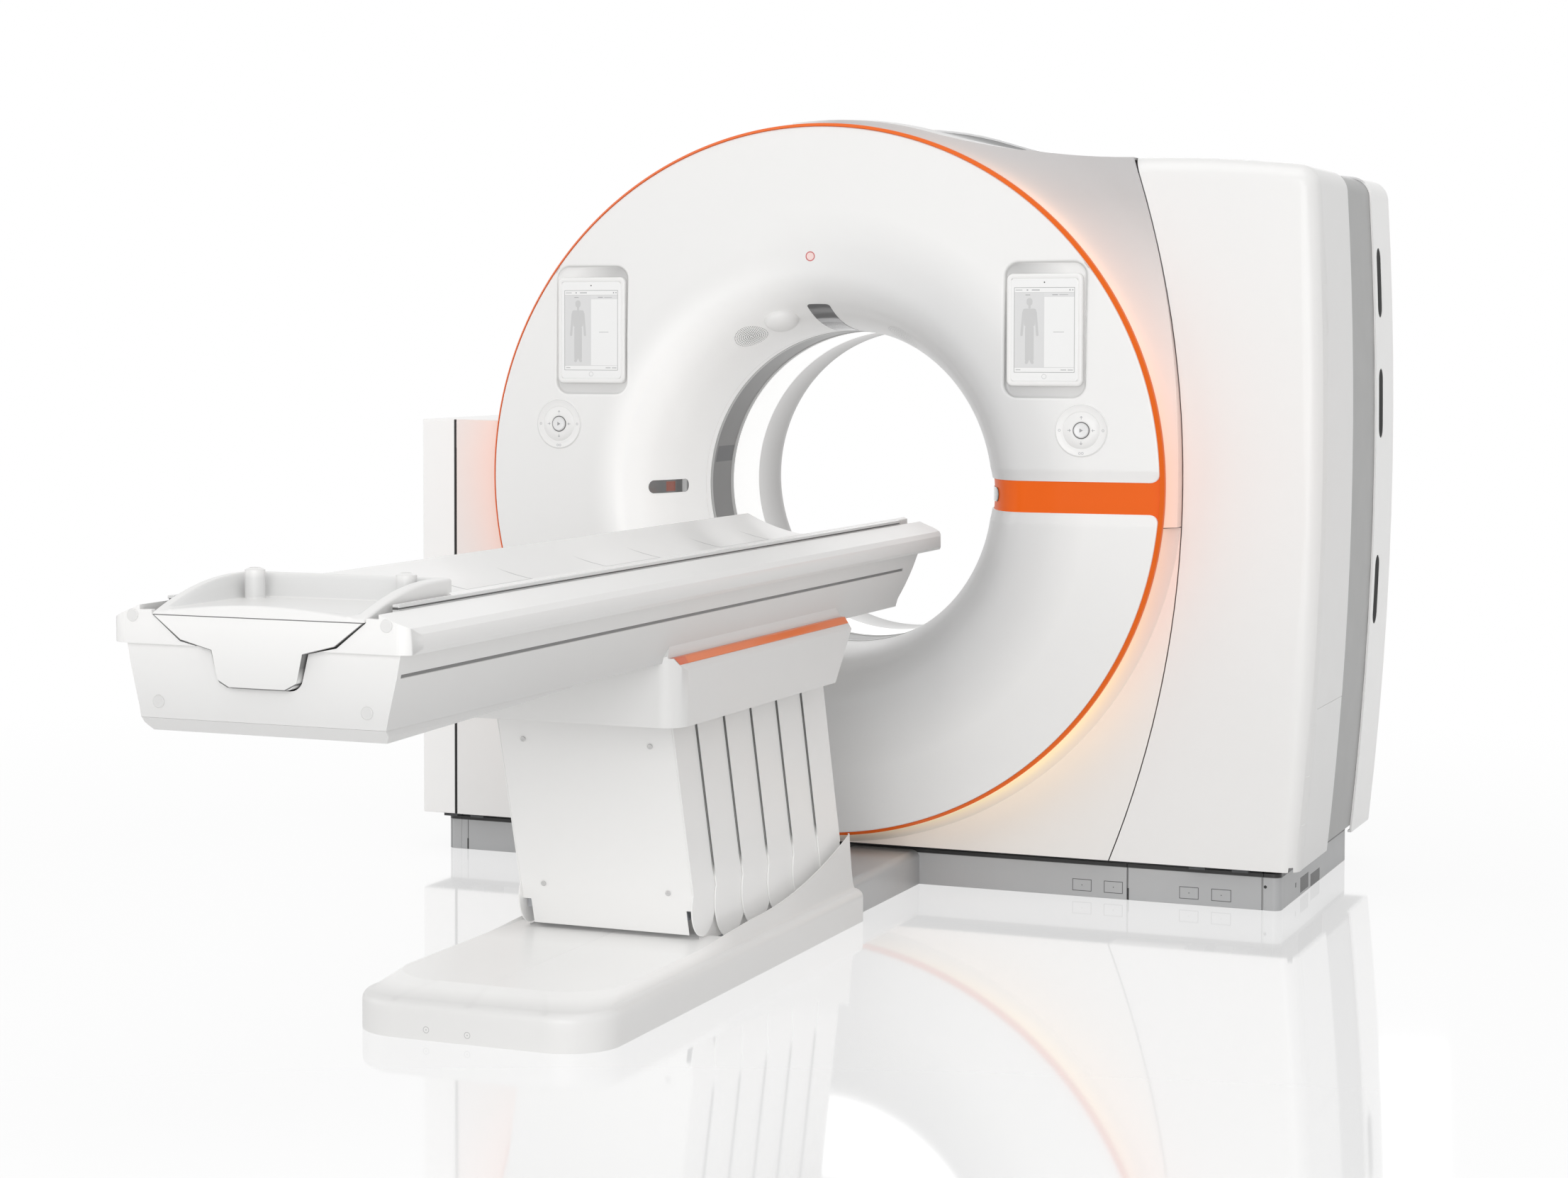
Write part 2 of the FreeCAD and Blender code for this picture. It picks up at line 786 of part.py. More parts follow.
# ---------------------------------------------------------------- side and rear covers
def tower_block(inset, front, back, rounded):
    """Right-hand tower as a block with rounded or bevelled front edges."""
    face = tower_face().makeOffset2D(-inset) if inset > 0 else tower_face()
    block = across(face, (front, back))
    edges = []
    for edge in block.Edges:
        middle = edge.valueAt((edge.FirstParameter + edge.LastParameter) / 2)
        on_seam = middle.x < seam_mid_x + cover_wall and middle.z < tower_top - 200
        on_floor = middle.z < cover_bottom + 10
        if abs(middle.y - front) < 0.01 and not on_seam and not on_floor:
            edges.append(edge)
    if rounded:
        return block.makeFillet(tower_edge_radius, edges)
    return block.makeChamfer(tower_edge_radius - 2 * inset, edges)


def right_side_shell():
    shell = tower_block(0, fascia_y, side_back_y, True)
    shell = shell.cut(tower_block(cover_wall, fascia_y + cover_wall, side_back_y + 50, False))
    x = (seam_mid_x + cover_wall, side_foot_x - 2 * cover_wall)
    return shell.cut(box(x, (fascia_y + cover_wall, side_back_y + 5), (0, cover_bottom + 2 * cover_wall)))


def service_box(grow):
    x = (side_foot_x - service_depth, side_bulge_x + service_depth)
    y = (service_front_y - grow, side_back_y + 5)
    return box(x, y, (cover_bottom - 5, service_top + grow))


def right_side_cover():
    return right_side_shell().cut(service_box(service_gap))


def right_service_panel():
    return right_side_shell().common(service_box(0))


def right_mid_band():
    """Grey band between the right side cover and the rear cover."""
    y = (side_back_y - cover_lap, rear_strip_y + cover_lap)
    strip = shell_strip(gantry_face(), cover_wall + seat_gap, y)
    x = tower_left_x - seam_gap + seat_gap
    z = (cover_bottom + 3 * cover_wall, tower_top)
    behind = box((x, side_bulge_x), (side_back_y + seat_gap, y[1]), z)
    within = box((tower_left_x + 3 * cover_wall, side_bulge_x), y, z)
    return strip.common(behind.fuse(within))


def left_side_cover():
    """Left cover: front, side and the ledge on top."""
    ledge = drum_edge()[1]
    outer = box((left_x, ledge.x - 2), (fascia_y, rear_strip_y + cover_lap), (cover_bottom, left_top))
    inner = box((left_x + cover_wall, 0), (fascia_y + cover_wall, back_y), (0, left_top - cover_wall))
    front = box((left_gap_x, 0), (fascia_y - 1, fascia_y + 2 * cover_wall), (0, 2 * left_top))
    cover = outer.cut(inner).cut(front)
    edges = []
    for e in cover.Edges:
        middle = e.valueAt((e.FirstParameter + e.LastParameter) / 2)
        if abs(middle.x - left_x) < 0.01 and abs(middle.y - fascia_y) < 0.01:
            edges.append(e)
    cover = cover.makeFillet(cover_wall - 1, edges)
    back = box((left_x - 1, 0), (rear_strip_y - seam_gap, back_y), (0, 2 * left_top))
    return cover.cut(back)


def rear_cover():
    """Back shell with its funnel opening and the vents in its right side."""
    face = gantry_face()
    shell = shell_strip(face, 0, (rear_strip_y, back_y))
    plate = across(face, (back_y - cover_wall, back_y))
    hole_radius = bore_radius + rear_flare_radial + seat_gap
    hole = cylinder(V(0, back_y - 50, axis_height), hole_radius, V(0, 1, 0), 100)
    opening = box((left_x + 10, side_foot_x - 10), (0, back_y - cover_wall), (0, cover_bottom + 10))
    cover = shell.fuse(plate).cut(hole).cut(opening)
    for rise in vent_rises:
        cover = cover.cut(vent(axis_height + rise, 0))
    return cover.removeSplitter()


def vent(z, shrink):
    """Upright rounded slot through the right-hand wall of the rear cover."""
    half_y = vent_width / 2 - shrink
    half_z = vent_height / 2 - shrink
    x = (side_foot_x - 30, side_bulge_x + 20)
    block = box(x, (vent_y - half_y, vent_y + half_y), (z - half_z, z + half_z))
    edges = [e for e in block.Edges if abs(e.tangentAt(e.FirstParameter).x) > 0.9]
    return block.makeFillet(half_y - 1, edges)


def vent_grilles():
    """Black grilles that close the vents from inside."""
    strip = shell_strip(gantry_face(), seat_gap + 1, (rear_strip_y, back_y))
    return [strip.common(vent(axis_height + rise, seat_gap)) for rise in vent_rises]


def rear_flare():
    """Grey rear end of the tunnel, curving out to the back plane."""
    outer = bore_radius + rear_flare_radial
    wall = bore_radius + tunnel_wall
    deep = V(outer, rear_flare_y, 0)
    ellipse = Part.Ellipse(V(outer, back_y, 0), V(bore_radius, rear_flare_y, 0), deep)
    edges = [Part.ArcOfEllipse(ellipse, 0, math.pi / 2).toShape()]
    edges.append(line((bore_radius, rear_flare_y), (wall, rear_flare_y)))
    edges.append(line((wall, rear_flare_y), (outer, back_y - tunnel_wall)))
    edges.append(line((outer, back_y - tunnel_wall), (outer, back_y)))
    return turned(edges, axis_height)


# ---------------------------------------------------------------- plinth and frames
def base_frame():
    """Welded floor frame inside the plinth panels."""
    gap = plinth_skin + seat_gap
    x = (plinth_left + gap, plinth_right - gap)
    y = (plinth_front + gap, plinth_back - gap)
    frame = box(x, y, (0, frame_top))
    for sx in x:
        for sy in y:
            size = post_size + 1
            frame = frame.cut(box((sx - size, sx + size), (sy - size, sy + size), (-1, frame_top + 1)))
    return frame


def plinth_front_panels():
    y = (plinth_front, plinth_front + plinth_skin)
    z = (0, plinth_height)
    middle = box((plinth_left + post_size, front_joint_x), y, z)
    side = box((front_joint_x + panel_joint, plinth_right - post_size), y, z)
    return [middle, side]


def plinth_side_panels():
    y = (plinth_front + post_size, plinth_back - post_size)
    left = box((plinth_left, plinth_left + plinth_skin), y, (0, plinth_height))
    right = box((plinth_right - plinth_skin, plinth_right), y, (0, plinth_height))
    y = (plinth_back - plinth_skin, plinth_back)
    rear = box((plinth_left + post_size, plinth_right - post_size), y, (0, plinth_height))
    return [left, right, rear]


def plinth_corner_posts():
    posts = []
    for sx, x in ((1, plinth_left), (-1, plinth_right)):
        for sy, y in ((1, plinth_front), (-1, plinth_back)):
            span_x = sorted((x, x + sx * post_size))
            span_y = sorted((y, y + sy * post_size))
            post = box(span_x, span_y, (0, plinth_height))
            edge = []
            for e in post.Edges:
                middle = e.valueAt((e.FirstParameter + e.LastParameter) / 2)
                if abs(middle.x - x) < 0.01 and abs(middle.y - y) < 0.01:
                    edge.append(e)
            posts.append(post.makeFillet(post_size / 2, edge))
    return posts


def cover_posts():
    """Posts on the floor frame that the covers are screwed to."""
    w = cover_post_width
    front = (fascia_y + cover_wall, plinth_front + 2 * w)
    rear = (plinth_back - 2 * w, back_y - cover_wall)
    z = (frame_top, cover_post_top)
    posts = []
    for x in (left_gap_x - w, left_gap_x + w, seam_mid_x + w / 2, side_foot_x - 4 * w):
        for y in (front, rear):
            posts.append(box((x, x + w), y, z))
    return posts


def stator_frame():
    """Upright plate with cut upper corners, bored for the rotor's hub."""
    y = (stator_front_y, stator_back_y)
    half, top = stator_half_width, axis_height + stator_rise
    corner = stator_half_width - stator_crown_half
    outline = [point(-half, frame_top), point(half, frame_top), point(half, top - corner)]
    outline += [point(half - corner, top), point(corner - half, top), point(-half, top - corner)]
    plate = across(polygon(outline), y)
    bore = cylinder(V(0, y[0] - 1, axis_height), hub_outer + bearing_clearance, V(0, 1, 0), y[1] - y[0] + 2)
    return plate.cut(bore)


# ---------------------------------------------------------------- rotor
def rotor_drum():
    """Rotor plate with the hub that runs in the upright plate."""
    back = rotor_plate_y + rotor_plate
    corners = [(hub_inner, rotor_plate_y), (rotor_radius, rotor_plate_y), (rotor_radius, back)]
    corners += [(hub_outer, back), (hub_outer, hub_back_y), (hub_inner, hub_back_y)]
    edges = [line(corners[i], corners[(i + 1) % len(corners)]) for i in range(len(corners))]
    return turned(edges, axis_height)


def xray_tube():
    """Tube housing: a short thick cylinder along the bore direction with a foot on the drum plate."""
    z = axis_height + focus_radius + tube_radius
    start = V(0, rotor_plate_y - tube_length, z)
    return cylinder(start, tube_radius, V(0, 1, 0), tube_length)


def collimator():
    """Box with a tapering beam slot, under the tube."""
    half = collimator_size / 2
    top = axis_height + focus_radius - seat_gap
    y = (rotor_plate_y - collimator_size, rotor_plate_y)
    block = box((-half, half), y, (top - collimator_height, top))
    middle = (y[0] + y[1]) / 2
    slot_y = (middle - beam_slot / 2, middle + beam_slot / 2)
    slot = box((-half + beam_slot, half - beam_slot), slot_y, (0, 2 * axis_height))
    return block.cut(slot)


def detector_arc():
    """Curved detector, centred on the focus."""
    focus = axis_height + focus_radius
    y = (rotor_plate_y - detector_width, rotor_plate_y)
    detector_distance = focus_radius + detector_radius
    outer = cylinder(V(0, y[0], focus), detector_distance + detector_thickness, V(0, 1, 0), detector_width)
    inner = cylinder(V(0, y[0] - 1, focus), detector_distance, V(0, 1, 0), detector_width + 2)
    reach = detector_distance * 2
    side = reach * math.tan(math.radians(detector_half_angle))
    wedge = polygon([V(0, 0, focus), V(side, 0, focus - reach), V(-side, 0, focus - reach)])
    return outer.cut(inner).common(across(wedge, (y[0] - 5, y[1] + 5)))


def drum_box(size, angle):
    """Component box on the drum plate at an angle round the axis."""
    half_x, half_z = size[0] / 2, size[1] / 2
    block = box((-half_x, half_x), (rotor_plate_y - size[2], rotor_plate_y), (-half_z, half_z))
    block.translate(V(0, 0, component_radius))
    block.rotate(V(0, 0, 0), V(0, 1, 0), 90 - angle)
    block.translate(V(0, 0, axis_height))
    return block


# ---------------------------------------------------------------- table base
def rounded_corner(x, y, radius):
    """Quarter arc in plan at a corner, bulging away from the middle of the table's foot."""
    side_x = math.copysign(1, x)
    side_y = 1 if y > well_front else -1
    centre = V(x - side_x * radius, y - side_y * radius, 0)
    middle = centre + V(side_x, side_y, 0).normalize() * radius
    return Part.Arc(centre + V(side_x * radius, 0, 0), middle, centre + V(0, side_y * radius, 0)).toShape()


def base_outline(inset, z):
    """Plan of the table's foot: wide corners at the foot end, tight ones at the gantry."""
    half = table_base_half - inset
    front = table_base_front + inset
    back = table_base_back - inset
    wide = base_corner_radius - inset
    tight = base_back_radius
    edges = [rounded_corner(x, front, wide) for x in (-half, half)]
    edges += [rounded_corner(x, back, tight) for x in (-half, half)]
    edges += [line((x, front + wide), (x, back - tight)) for x in (-half, half)]
    edges.append(line((-half + wide, front), (half - wide, front)))
    edges.append(line((-half + tight, back), (half - tight, back)))
    face = Part.Face(wire_of(edges))
    face.translate(V(0, 0, z))
    return face


def side_line(a, b):
    """Edge in YZ between two (y, z) points, on the left side of the table's foot."""
    return Part.makeLine(V(-table_base_half, a[0], a[1]), V(-table_base_half, b[0], b[1]))


def fairing_side():
    """Side view of the raised walls: a tongue over the pad, then a sweep up to the peak."""
    low = base_skirt_height - fairing_sink
    peak = (table_base_back - pad_inset, fairing_high)
    start = (fairing_start_y, fairing_low)
    tongue = (well_front - 2 * tongue_length, base_top)
    toe = (table_base_front + 3 * base_edge_radius, base_top)
    corners = [(table_base_back, base_top + fairing_sink), (table_base_back, low), (toe[0], low), toe]
    corners += [tongue, (well_front - tongue_length, fairing_low - 3), start]
    edges = [side_line(corners[i], corners[i + 1]) for i in range(len(corners) - 1)]
    at = [V(-table_base_half, p[0], p[1]) for p in (start, peak, corners[0])]
    edges.append(tangent_arc(at[0], V(0, 1, 0), at[1]))
    edges.append(tangent_arc(at[2], V(0, -0.35, 1), at[1]))
    return Part.Face(wire_of(edges)).extrude(V(2 * table_base_half, 0, 0))


def fairing():
    """Raised walls along both sides that sweep up towards the gantry and lean in."""
    top = fairing_high + fairing_sink
    low = base_skirt_height - fairing_sink
    knee = base_skirt_height + 3 * fairing_sink
    edges = [Part.makeLine(point(-table_base_half, low), point(table_base_half, low))]
    edges.append(Part.makeLine(point(-fairing_inner, top), point(fairing_inner, top)))
    for s in (1, -1):
        side = point(s * table_base_half, knee)
        edges.append(tangent_arc(point(s * fairing_inner, top), point(s * 0.12, -1), side))
        edges.append(Part.makeLine(side, point(s * table_base_half, low)))
    cross = across(Part.Face(wire_of(edges)), (table_base_front, table_base_back))
    return fairing_side().common(cross)


def table_plinth():
    """Moulded foot of the table: skirt, pad, fairings and the well for the links."""
    skirt = base_outline(0, 0).extrude(V(0, 0, base_skirt_height))
    rim = []
    for edge in skirt.Edges:
        on_top = edge.BoundBox.ZMin > base_skirt_height - 0.1
        if on_top and edge.BoundBox.YMin < table_base_back - base_corner_radius:
            rim.append(edge)
    skirt = skirt.makeFillet(base_edge_radius, rim)
    pad_low = base_skirt_height - base_edge_radius
    pad = base_outline(pad_inset, pad_low).extrude(V(0, 0, base_top - pad_low))
    above = 2 * fairing_high
    body = skirt.fuse(pad).fuse(fairing().common(base_outline(0, 0).extrude(V(0, 0, above))))
    x = (-fairing_inner, fairing_inner)
    well = box(x, (well_front, table_base_back - well_end_wall), (well_floor, above))
    porch = box(x, (well_front - well_porch, well_front + 1), (base_top, above))
    return body.cut(well).cut(porch).removeSplitter()


def link_y(index):
    return link_pivot_y + index * link_pitch


def bearers():
    """Side plates in the well, with a pin for every link."""
    first, last = link_y(0), link_y(link_count - 1)
    nose = bearer_nose
    low = well_floor + seat_gap
    outline = [(first - nose, link_pivot_z - nose), (well_front + nose / 4, link_pivot_z - nose)]
    outline += [(well_front + nose / 4, low), (last + nose, low), (last + nose, bearer_top)]
    outline += [(first - nose, bearer_top)]
    plate = along_x(outline, (bearer_outer - bearer_thickness, bearer_outer))
    for i in range(link_count):
        reach = slat_x(i) - slat_thickness - seat_gap - bearer_outer
        centre = V(bearer_outer, link_y(i), link_pivot_z)
        plate = plate.fuse(cylinder(centre, pivot_pin_radius, V(1, 0, 0), reach))
    plate = plate.removeSplitter()
    return [plate, mirror_x(plate)]


def slat_x(index):
    """Outer face of a slat: each stands proud of the one before it."""
    return slat_outer_x + index * (slat_thickness + slat_gap)


def link_point(index, along, across_link, x):
    """Point given along and across a leaning link, from its base pivot."""
    lean = math.radians(link_lean)
    y = link_y(index) - along * math.sin(lean) + across_link * math.cos(lean)
    z = link_pivot_z + along * math.cos(lean) + across_link * math.sin(lean)
    return V(x, y, z)


def link_length():
    return (saddle_pivot_z - link_pivot_z) / math.cos(math.radians(link_lean))


def link_strip(index, across_range, along_range, x):
    """Straight strip that leans with the links."""
    corners = []
    for along, side in ((0, 0), (0, 1), (1, 1), (1, 0)):
        corners.append(link_point(index, along_range[along], across_range[side], x[0]))
    return polygon(corners).extrude(V(x[1] - x[0], 0, 0))


def slats(index):
    """Left and right cover slats of one link."""
    x = (slat_x(index) - slat_thickness, slat_x(index))
    half = link_pitch * math.cos(math.radians(link_lean)) / 2
    lap = slat_lap if index < link_count - 1 else 0
    front = -half if index > 0 else -plate_offset
    length = link_length() + slat_tip
    plate = link_strip(index, (front, half + lap), (0, length), x)
    radius = slat_foot_radius if 0 < index < link_count - 1 else end_foot_radius
    base = V(x[0], link_y(index), link_pivot_z)
    foot = cylinder(base, radius, V(1, 0, 0), slat_thickness)
    plate = plate.fuse(foot).removeSplitter()
    return [plate, mirror_x(plate)]


def column_front_plate():
    """Flat plate that closes the column at the foot end, notched at its lower corners."""
    half = slat_outer_x - slat_thickness
    front = (-plate_offset, -plate_offset + plate_thickness)
    length = link_length() + slat_tip
    plate = link_strip(0, front, (plate_notch_top, length), (-half, half))
    tongue = link_strip(0, front, (-plate_drop, plate_notch_top), (-plate_notch_half, plate_notch_half))
    return plate.fuse(tongue).removeSplitter()


def lift_arms(index):
    """Pair of lifting arms with the two shafts that they swing on."""
    length = link_length()
    reach = bearer_outer - bearer_thickness - seat_gap
    across_arm = (-arm_half_width, arm_half_width)
    shape = None
    for along in (0, length):
        centre = link_point(index, along, 0, -reach)
        shaft = cylinder(centre, shaft_radius, V(1, 0, 0), 2 * reach)
        shape = shaft if shape is None else shape.fuse(shaft)
    for x in ((-arm_outer, arm_thickness - arm_outer), (arm_outer - arm_thickness, arm_outer)):
        ends = (-arm_half_width, length + arm_half_width)
        shape = shape.fuse(link_strip(index, across_arm, ends, x))
    return [shape.removeSplitter()]


# ---------------------------------------------------------------- saddle and trough
def trough_section(grow):
    """Right half outline of the trough, as (x, z), from the bottom up."""
    low, slot, top = trough_half_low + grow, trough_half_slot + grow, trough_half_top + grow
    return [(low - 18, trough_bottom - grow), (low, trough_bottom + 18), (slot, slot_z), (top, trough_top)]


def section_block(right_half, y):
    """Block across Y whose section is a right half outline and its mirror image."""
    points = [point(x, z) for x, z in right_half]
    points += [point(-x, z) for x, z in reversed(right_half)]
    return across(polygon(points), y)


def trough_side():
    """Side view of the trough, with the rounded rise of its head end."""
    low = trough_head_low_y
    points = [V(0, trough_foot_y, trough_top), V(0, trough_foot_y, trough_bottom)]
    points += [V(0, low, trough_bottom)]
    edges = [Part.makeLine(points[0], points[1]), Part.makeLine(points[1], points[2])]
    knee = V(0, low + 22, trough_bottom + 34)
    edges.append(tangent_arc(points[2], V(0, 0.2, 1), knee))
    shoulder = V(0, trough_head_y, trough_top)
    edges.append(tangent_arc(shoulder, V(0, -0.55, -1), knee))
    edges.append(Part.makeLine(shoulder, points[0]))
    face = Part.Face(wire_of(edges))
    side = face.extrude(V(4 * trough_half_top, 0, 0))
    side.translate(V(-2 * trough_half_top, 0, 0))
    return side


def table_trough():
    """Lower body of the table top, open upwards, with a dark slot along each side."""
    y = (trough_foot_y, trough_head_y)
    outer = section_block(trough_section(0), y).common(trough_side())
    inner_y = (trough_foot_y + trough_wall, trough_head_low_y - trough_wall)
    inner = trough_section(-trough_wall)
    inner[-1] = (trough_half_top - trough_wall, trough_top + 1)
    body = outer.cut(section_block(inner, inner_y))
    for s in (-1, 1):
        x = sorted((s * (trough_half_slot - slot_depth), s * (trough_half_top + 5)))
        z = (slot_z - slot_height / 2, slot_z + slot_height / 2)
        body = body.cut(box(x, (trough_foot_y + 14, slot_head_y), z))
    return body.cut(plug_block(plug_gap, (trough_foot_y - 30, trough_foot_y + trough_wall + 1)))


def trough_pan():
    """Wedge under the trough that thins out towards the saddle."""
    z = trough_bottom - seat_gap
    points = [(trough_foot_y, z), (pan_head_y, z), (pan_head_y, z - pan_tip)]
    points += [(trough_foot_y + pan_rake, pan_foot_z)]
    half = trough_half_low + pan_lip
    wedge = along_x(points, (-half, half))
    corner = [(half - pan_bevel, pan_foot_z), (half, pan_foot_z + pan_bevel), (half, z)]
    return wedge.common(section_block(corner, (trough_foot_y, pan_head_y)))


def saddle_plan():
    """Upright block with the saddle's rounded corners at the foot end."""
    x = (-saddle_half, saddle_half)
    block = box(x, (saddle_foot_y, saddle_head_top_y), (saddle_bottom, saddle_pad_top))
    return block.makeFillet(saddle_corner_radius, edges_at(block, "z", y=saddle_foot_y))


def saddle():
    """Moulded saddle that clasps the trough and hides the upper ends of the links."""
    right = [(saddle_half, saddle_bottom), (saddle_half, saddle_shoulder)]
    right += [(saddle_bevel_x, saddle_bevel_z), (saddle_pad_x, saddle_bevel_z)]
    right += [(saddle_pad_x - 6, saddle_pad_top), (100, saddle_pad_top)]
    block = section_block(right, (saddle_foot_y, saddle_head_top_y))
    rake = [(saddle_foot_y, saddle_bottom), (saddle_head_low_y, saddle_bottom)]
    rake += [(saddle_head_top_y, saddle_shoulder), (saddle_head_top_y, saddle_bevel_z)]
    rake += [(saddle_pad_head_y, saddle_pad_top), (saddle_pad_foot_y, saddle_pad_top)]
    rake += [(saddle_foot_y, saddle_bevel_z)]
    block = block.common(along_x(rake, (-saddle_half, saddle_half)))
    block = block.common(saddle_plan())
    cavity_y = (saddle_foot_y + cover_wall, saddle_head_top_y + 10)
    cavity = box((-saddle_inner, saddle_inner), cavity_y, (saddle_bottom - 1, saddle_roof))
    clasp = trough_section(seat_gap)
    clasp.append((trough_half_top + seat_gap, saddle_pad_top + 100))
    body = block.cut(cavity).cut(section_block(clasp, (saddle_foot_y - 5, saddle_head_top_y + 5)))
    for strip in saddle_inlays():
        body = body.cut(strip)
    return body.removeSplitter()


def saddle_inlays():
    """Orange strips along the saddle's shoulders."""
    top = saddle_bevel_z
    low = top - inlay_strip_height
    inner = saddle_pad_x
    outer = saddle_bevel_x + inlay_strip_width
    y = (saddle_foot_y + inlay_inset_foot, saddle_head_top_y - inlay_inset_head)
    outline = [point(inner, top), point(inner, low), point(outer, low)]
    outline.append(point(inner + inlay_strip_width, top))
    strip = across(polygon(outline), y)
    return [strip, mirror_x(strip)]


def saddle_bearers():
    """Side plates in the saddle that hold the upper shafts."""
    z = (saddle_pivot_z - bearer_nose, saddle_roof)
    lean = (saddle_pivot_z - link_pivot_z) * math.tan(math.radians(link_lean))
    first = link_y(0) - lean
    last = link_y(link_count - 1) - lean
    solids = []
    for side in (-1, 1):
        x = (bearer_outer - bearer_thickness, bearer_outer)
        plate = None
        for y in (first, last):
            ear = box(x, (y - bearer_nose, y + bearer_nose), z)
            plate = ear if plate is None else plate.fuse(ear)
        plate = plate.fuse(box(x, (first, last), (saddle_roof - 30, saddle_roof)))
        solids.append(plate if side > 0 else mirror_x(plate))
    return solids


# ---------------------------------------------------------------- table top
def side_rails():
    """Left and right upper rails of the table, between which the board slides."""
    points = [(rail_inner, trough_top + seat_gap), (rail_top_half - 8, trough_top + seat_gap)]
    points += [(rail_top_half, trough_top + 9), (rail_top_half, rail_side_top - 8)]
    points += [(rail_top_half - 10, rail_side_top + 3), (rail_inner, rail_ridge_z)]
    rail = across(polygon([point(x, z) for x, z in points]), (rail_foot_y, rail_head_y))
    edges = []
    for e in rail.Edges:
        middle = e.valueAt((e.FirstParameter + e.LastParameter) / 2)
        upright = abs(e.tangentAt(e.FirstParameter).z) > 0.9
        if upright and middle.x > rail_top_half - 1:
            edges.append(e)
    rail = rail.makeFillet(rail_corner_radius, edges)
    end_y = (rail_foot_y, rail_foot_y + rail_end_wall)
    cap = box((plug_neck_half, rail_inner + 1), end_y, (trough_top + seat_gap, rail_ridge_z - rail_cap_drop))
    opening = plug_block(plug_gap, (rail_foot_y - 1, end_y[1] + 1))
    rail = rail.fuse(cap).cut(opening).removeSplitter()
    return [rail, mirror_x(rail)]


def board_curve(drop):
    """Hollow of the table board in XZ, lowered by drop."""
    left = point(-board_rim_x, board_rim_z - drop)
    right = point(board_rim_x, board_rim_z - drop)
    return Part.Arc(left, point(0, board_low_z - drop), right).toShape()


def board_face():
    edges = [board_curve(0), board_curve(board_thickness)]
    for s in (-1, 1):
        top = point(s * board_rim_x, board_rim_z)
        out = point(s * board_half, board_rim_z - 4)
        under = point(s * board_half, board_rim_z - board_thickness - 4)
        low = point(s * board_rim_x, board_rim_z - board_thickness)
        edges += [Part.makeLine(top, out), Part.makeLine(out, under), Part.makeLine(under, low)]
    return Part.Face(wire_of(edges))


def table_board():
    return across(board_face(), (board_foot_y, board_head_y))


def board_runners():
    """Runners under the board that slide on the guides."""
    y = (board_foot_y, board_head_y - 300)
    x = (runner_x, runner_x + runner_width)
    runner = box(x, y, (guide_top + guide_gap, board_low_z + 10))
    return [runner, mirror_x(runner)]


def board_guides():
    """Guides in the trough that carry the board's runners."""
    x = (runner_x, runner_x + runner_width)
    y = (trough_foot_y + trough_wall + 60, trough_head_low_y - 2 * trough_wall)
    guide = box(x, y, (trough_bottom + trough_wall + seat_gap, guide_top))
    return [guide, mirror_x(guide)]


def accessory_rails():
    """Metal rails along both edges of the board."""
    x = (board_half, board_half + accessory_width)
    y = (accessory_foot_y, accessory_head_y)
    bar = box(x, y, (accessory_low, accessory_high))
    middle = (accessory_low + accessory_high) / 2
    groove = box((x[1] - 3, x[1] + 1), y, (middle - 1.5, middle + 1.5))
    bar = bar.cut(groove)
    return [bar, mirror_x(bar)]


def plug_outline(grow):
    """Half outline of the foot plug, from its lower end up."""
    return [(plug_low_half + grow, plug_low_z - grow), (plug_neck_half + grow, plug_neck_z),
            (plug_shoulder_half + grow, plug_shoulder_z - grow), (plug_top_half + grow, plug_top_z)]


def plug_block(grow, y):
    """Foot plug's form as a block, used for the plug and for its opening."""
    half = plug_outline(grow)
    half.append((half[-1][0], rail_ridge_z + 40))
    block = section_block(half, y)
    edges = []
    for e in block.Edges:
        middle = e.valueAt((e.FirstParameter + e.LastParameter) / 2)
        if abs(e.tangentAt(e.FirstParameter).y) > 0.9 and middle.z < plug_low_z + 1:
            edges.append(e)
    return block.makeFillet(plug_low_radius, edges)


def foot_plug():
    """End piece of the board: a wide block with a grip that hooks down into the trough."""
    grip = plug_block(0, (plug_front_y, plug_front_y + plug_grip_depth))
    low = guide_top + guide_gap
    y = (plug_front_y, board_foot_y)
    deck = section_block([(plug_neck_half, low), (plug_top_half, plug_top_z)], y)
    above = (plug_top_z - seat_gap, 2 * plug_top_z)
    top = box((-2 * board_half, 2 * board_half), (y[0] - 1, y[1] + 1), above)
    return grip.fuse(deck).cut(top).removeSplitter()


def tray_body():
    """Arched block whose top falls towards the foot end."""
    half = plug_top_half
    low = plug_top_z
    y = (plug_front_y, tray_back_y)
    crown = Part.Arc(point(-half, tray_arch_side), point(0, tray_arch_top), point(half, tray_arch_side))
    edges = [crown.toShape(), Part.makeLine(point(half, low), point(-half, low))]
    edges += [Part.makeLine(point(x, low), point(x, tray_arch_side)) for x in (-half, half)]
    side = [(y[0], low), (y[1], low), (y[1], tray_rim_z - tray_rim_bevel)]
    side += [(y[1] - tray_wall, tray_rim_z), (y[0] + tray_ramp, tray_front_z + tray_rim_bevel)]
    side.append((y[0], tray_front_z - tray_rim_bevel))
    return across(Part.Face(wire_of(edges)), y).common(along_x(side, (-half, half)))


def accessory_tray():
    """Arched tray at the foot end with a sunk floor and two round posts."""
    body = tray_body().cut(table_board_space())
    half = plug_top_half - tray_wall
    back = tray_back_y - tray_wall
    body = body.cut(box((-half, half), (plug_front_y + tray_ramp, back), (tray_floor, 2 * tray_floor)))
    for s in (-1, 1):
        foot = V(s * tray_post_x, back, tray_floor)
        body = body.fuse(cylinder(foot, tray_post_radius, V(0, 0, 1), tray_post_top - tray_floor))
    return body.removeSplitter()


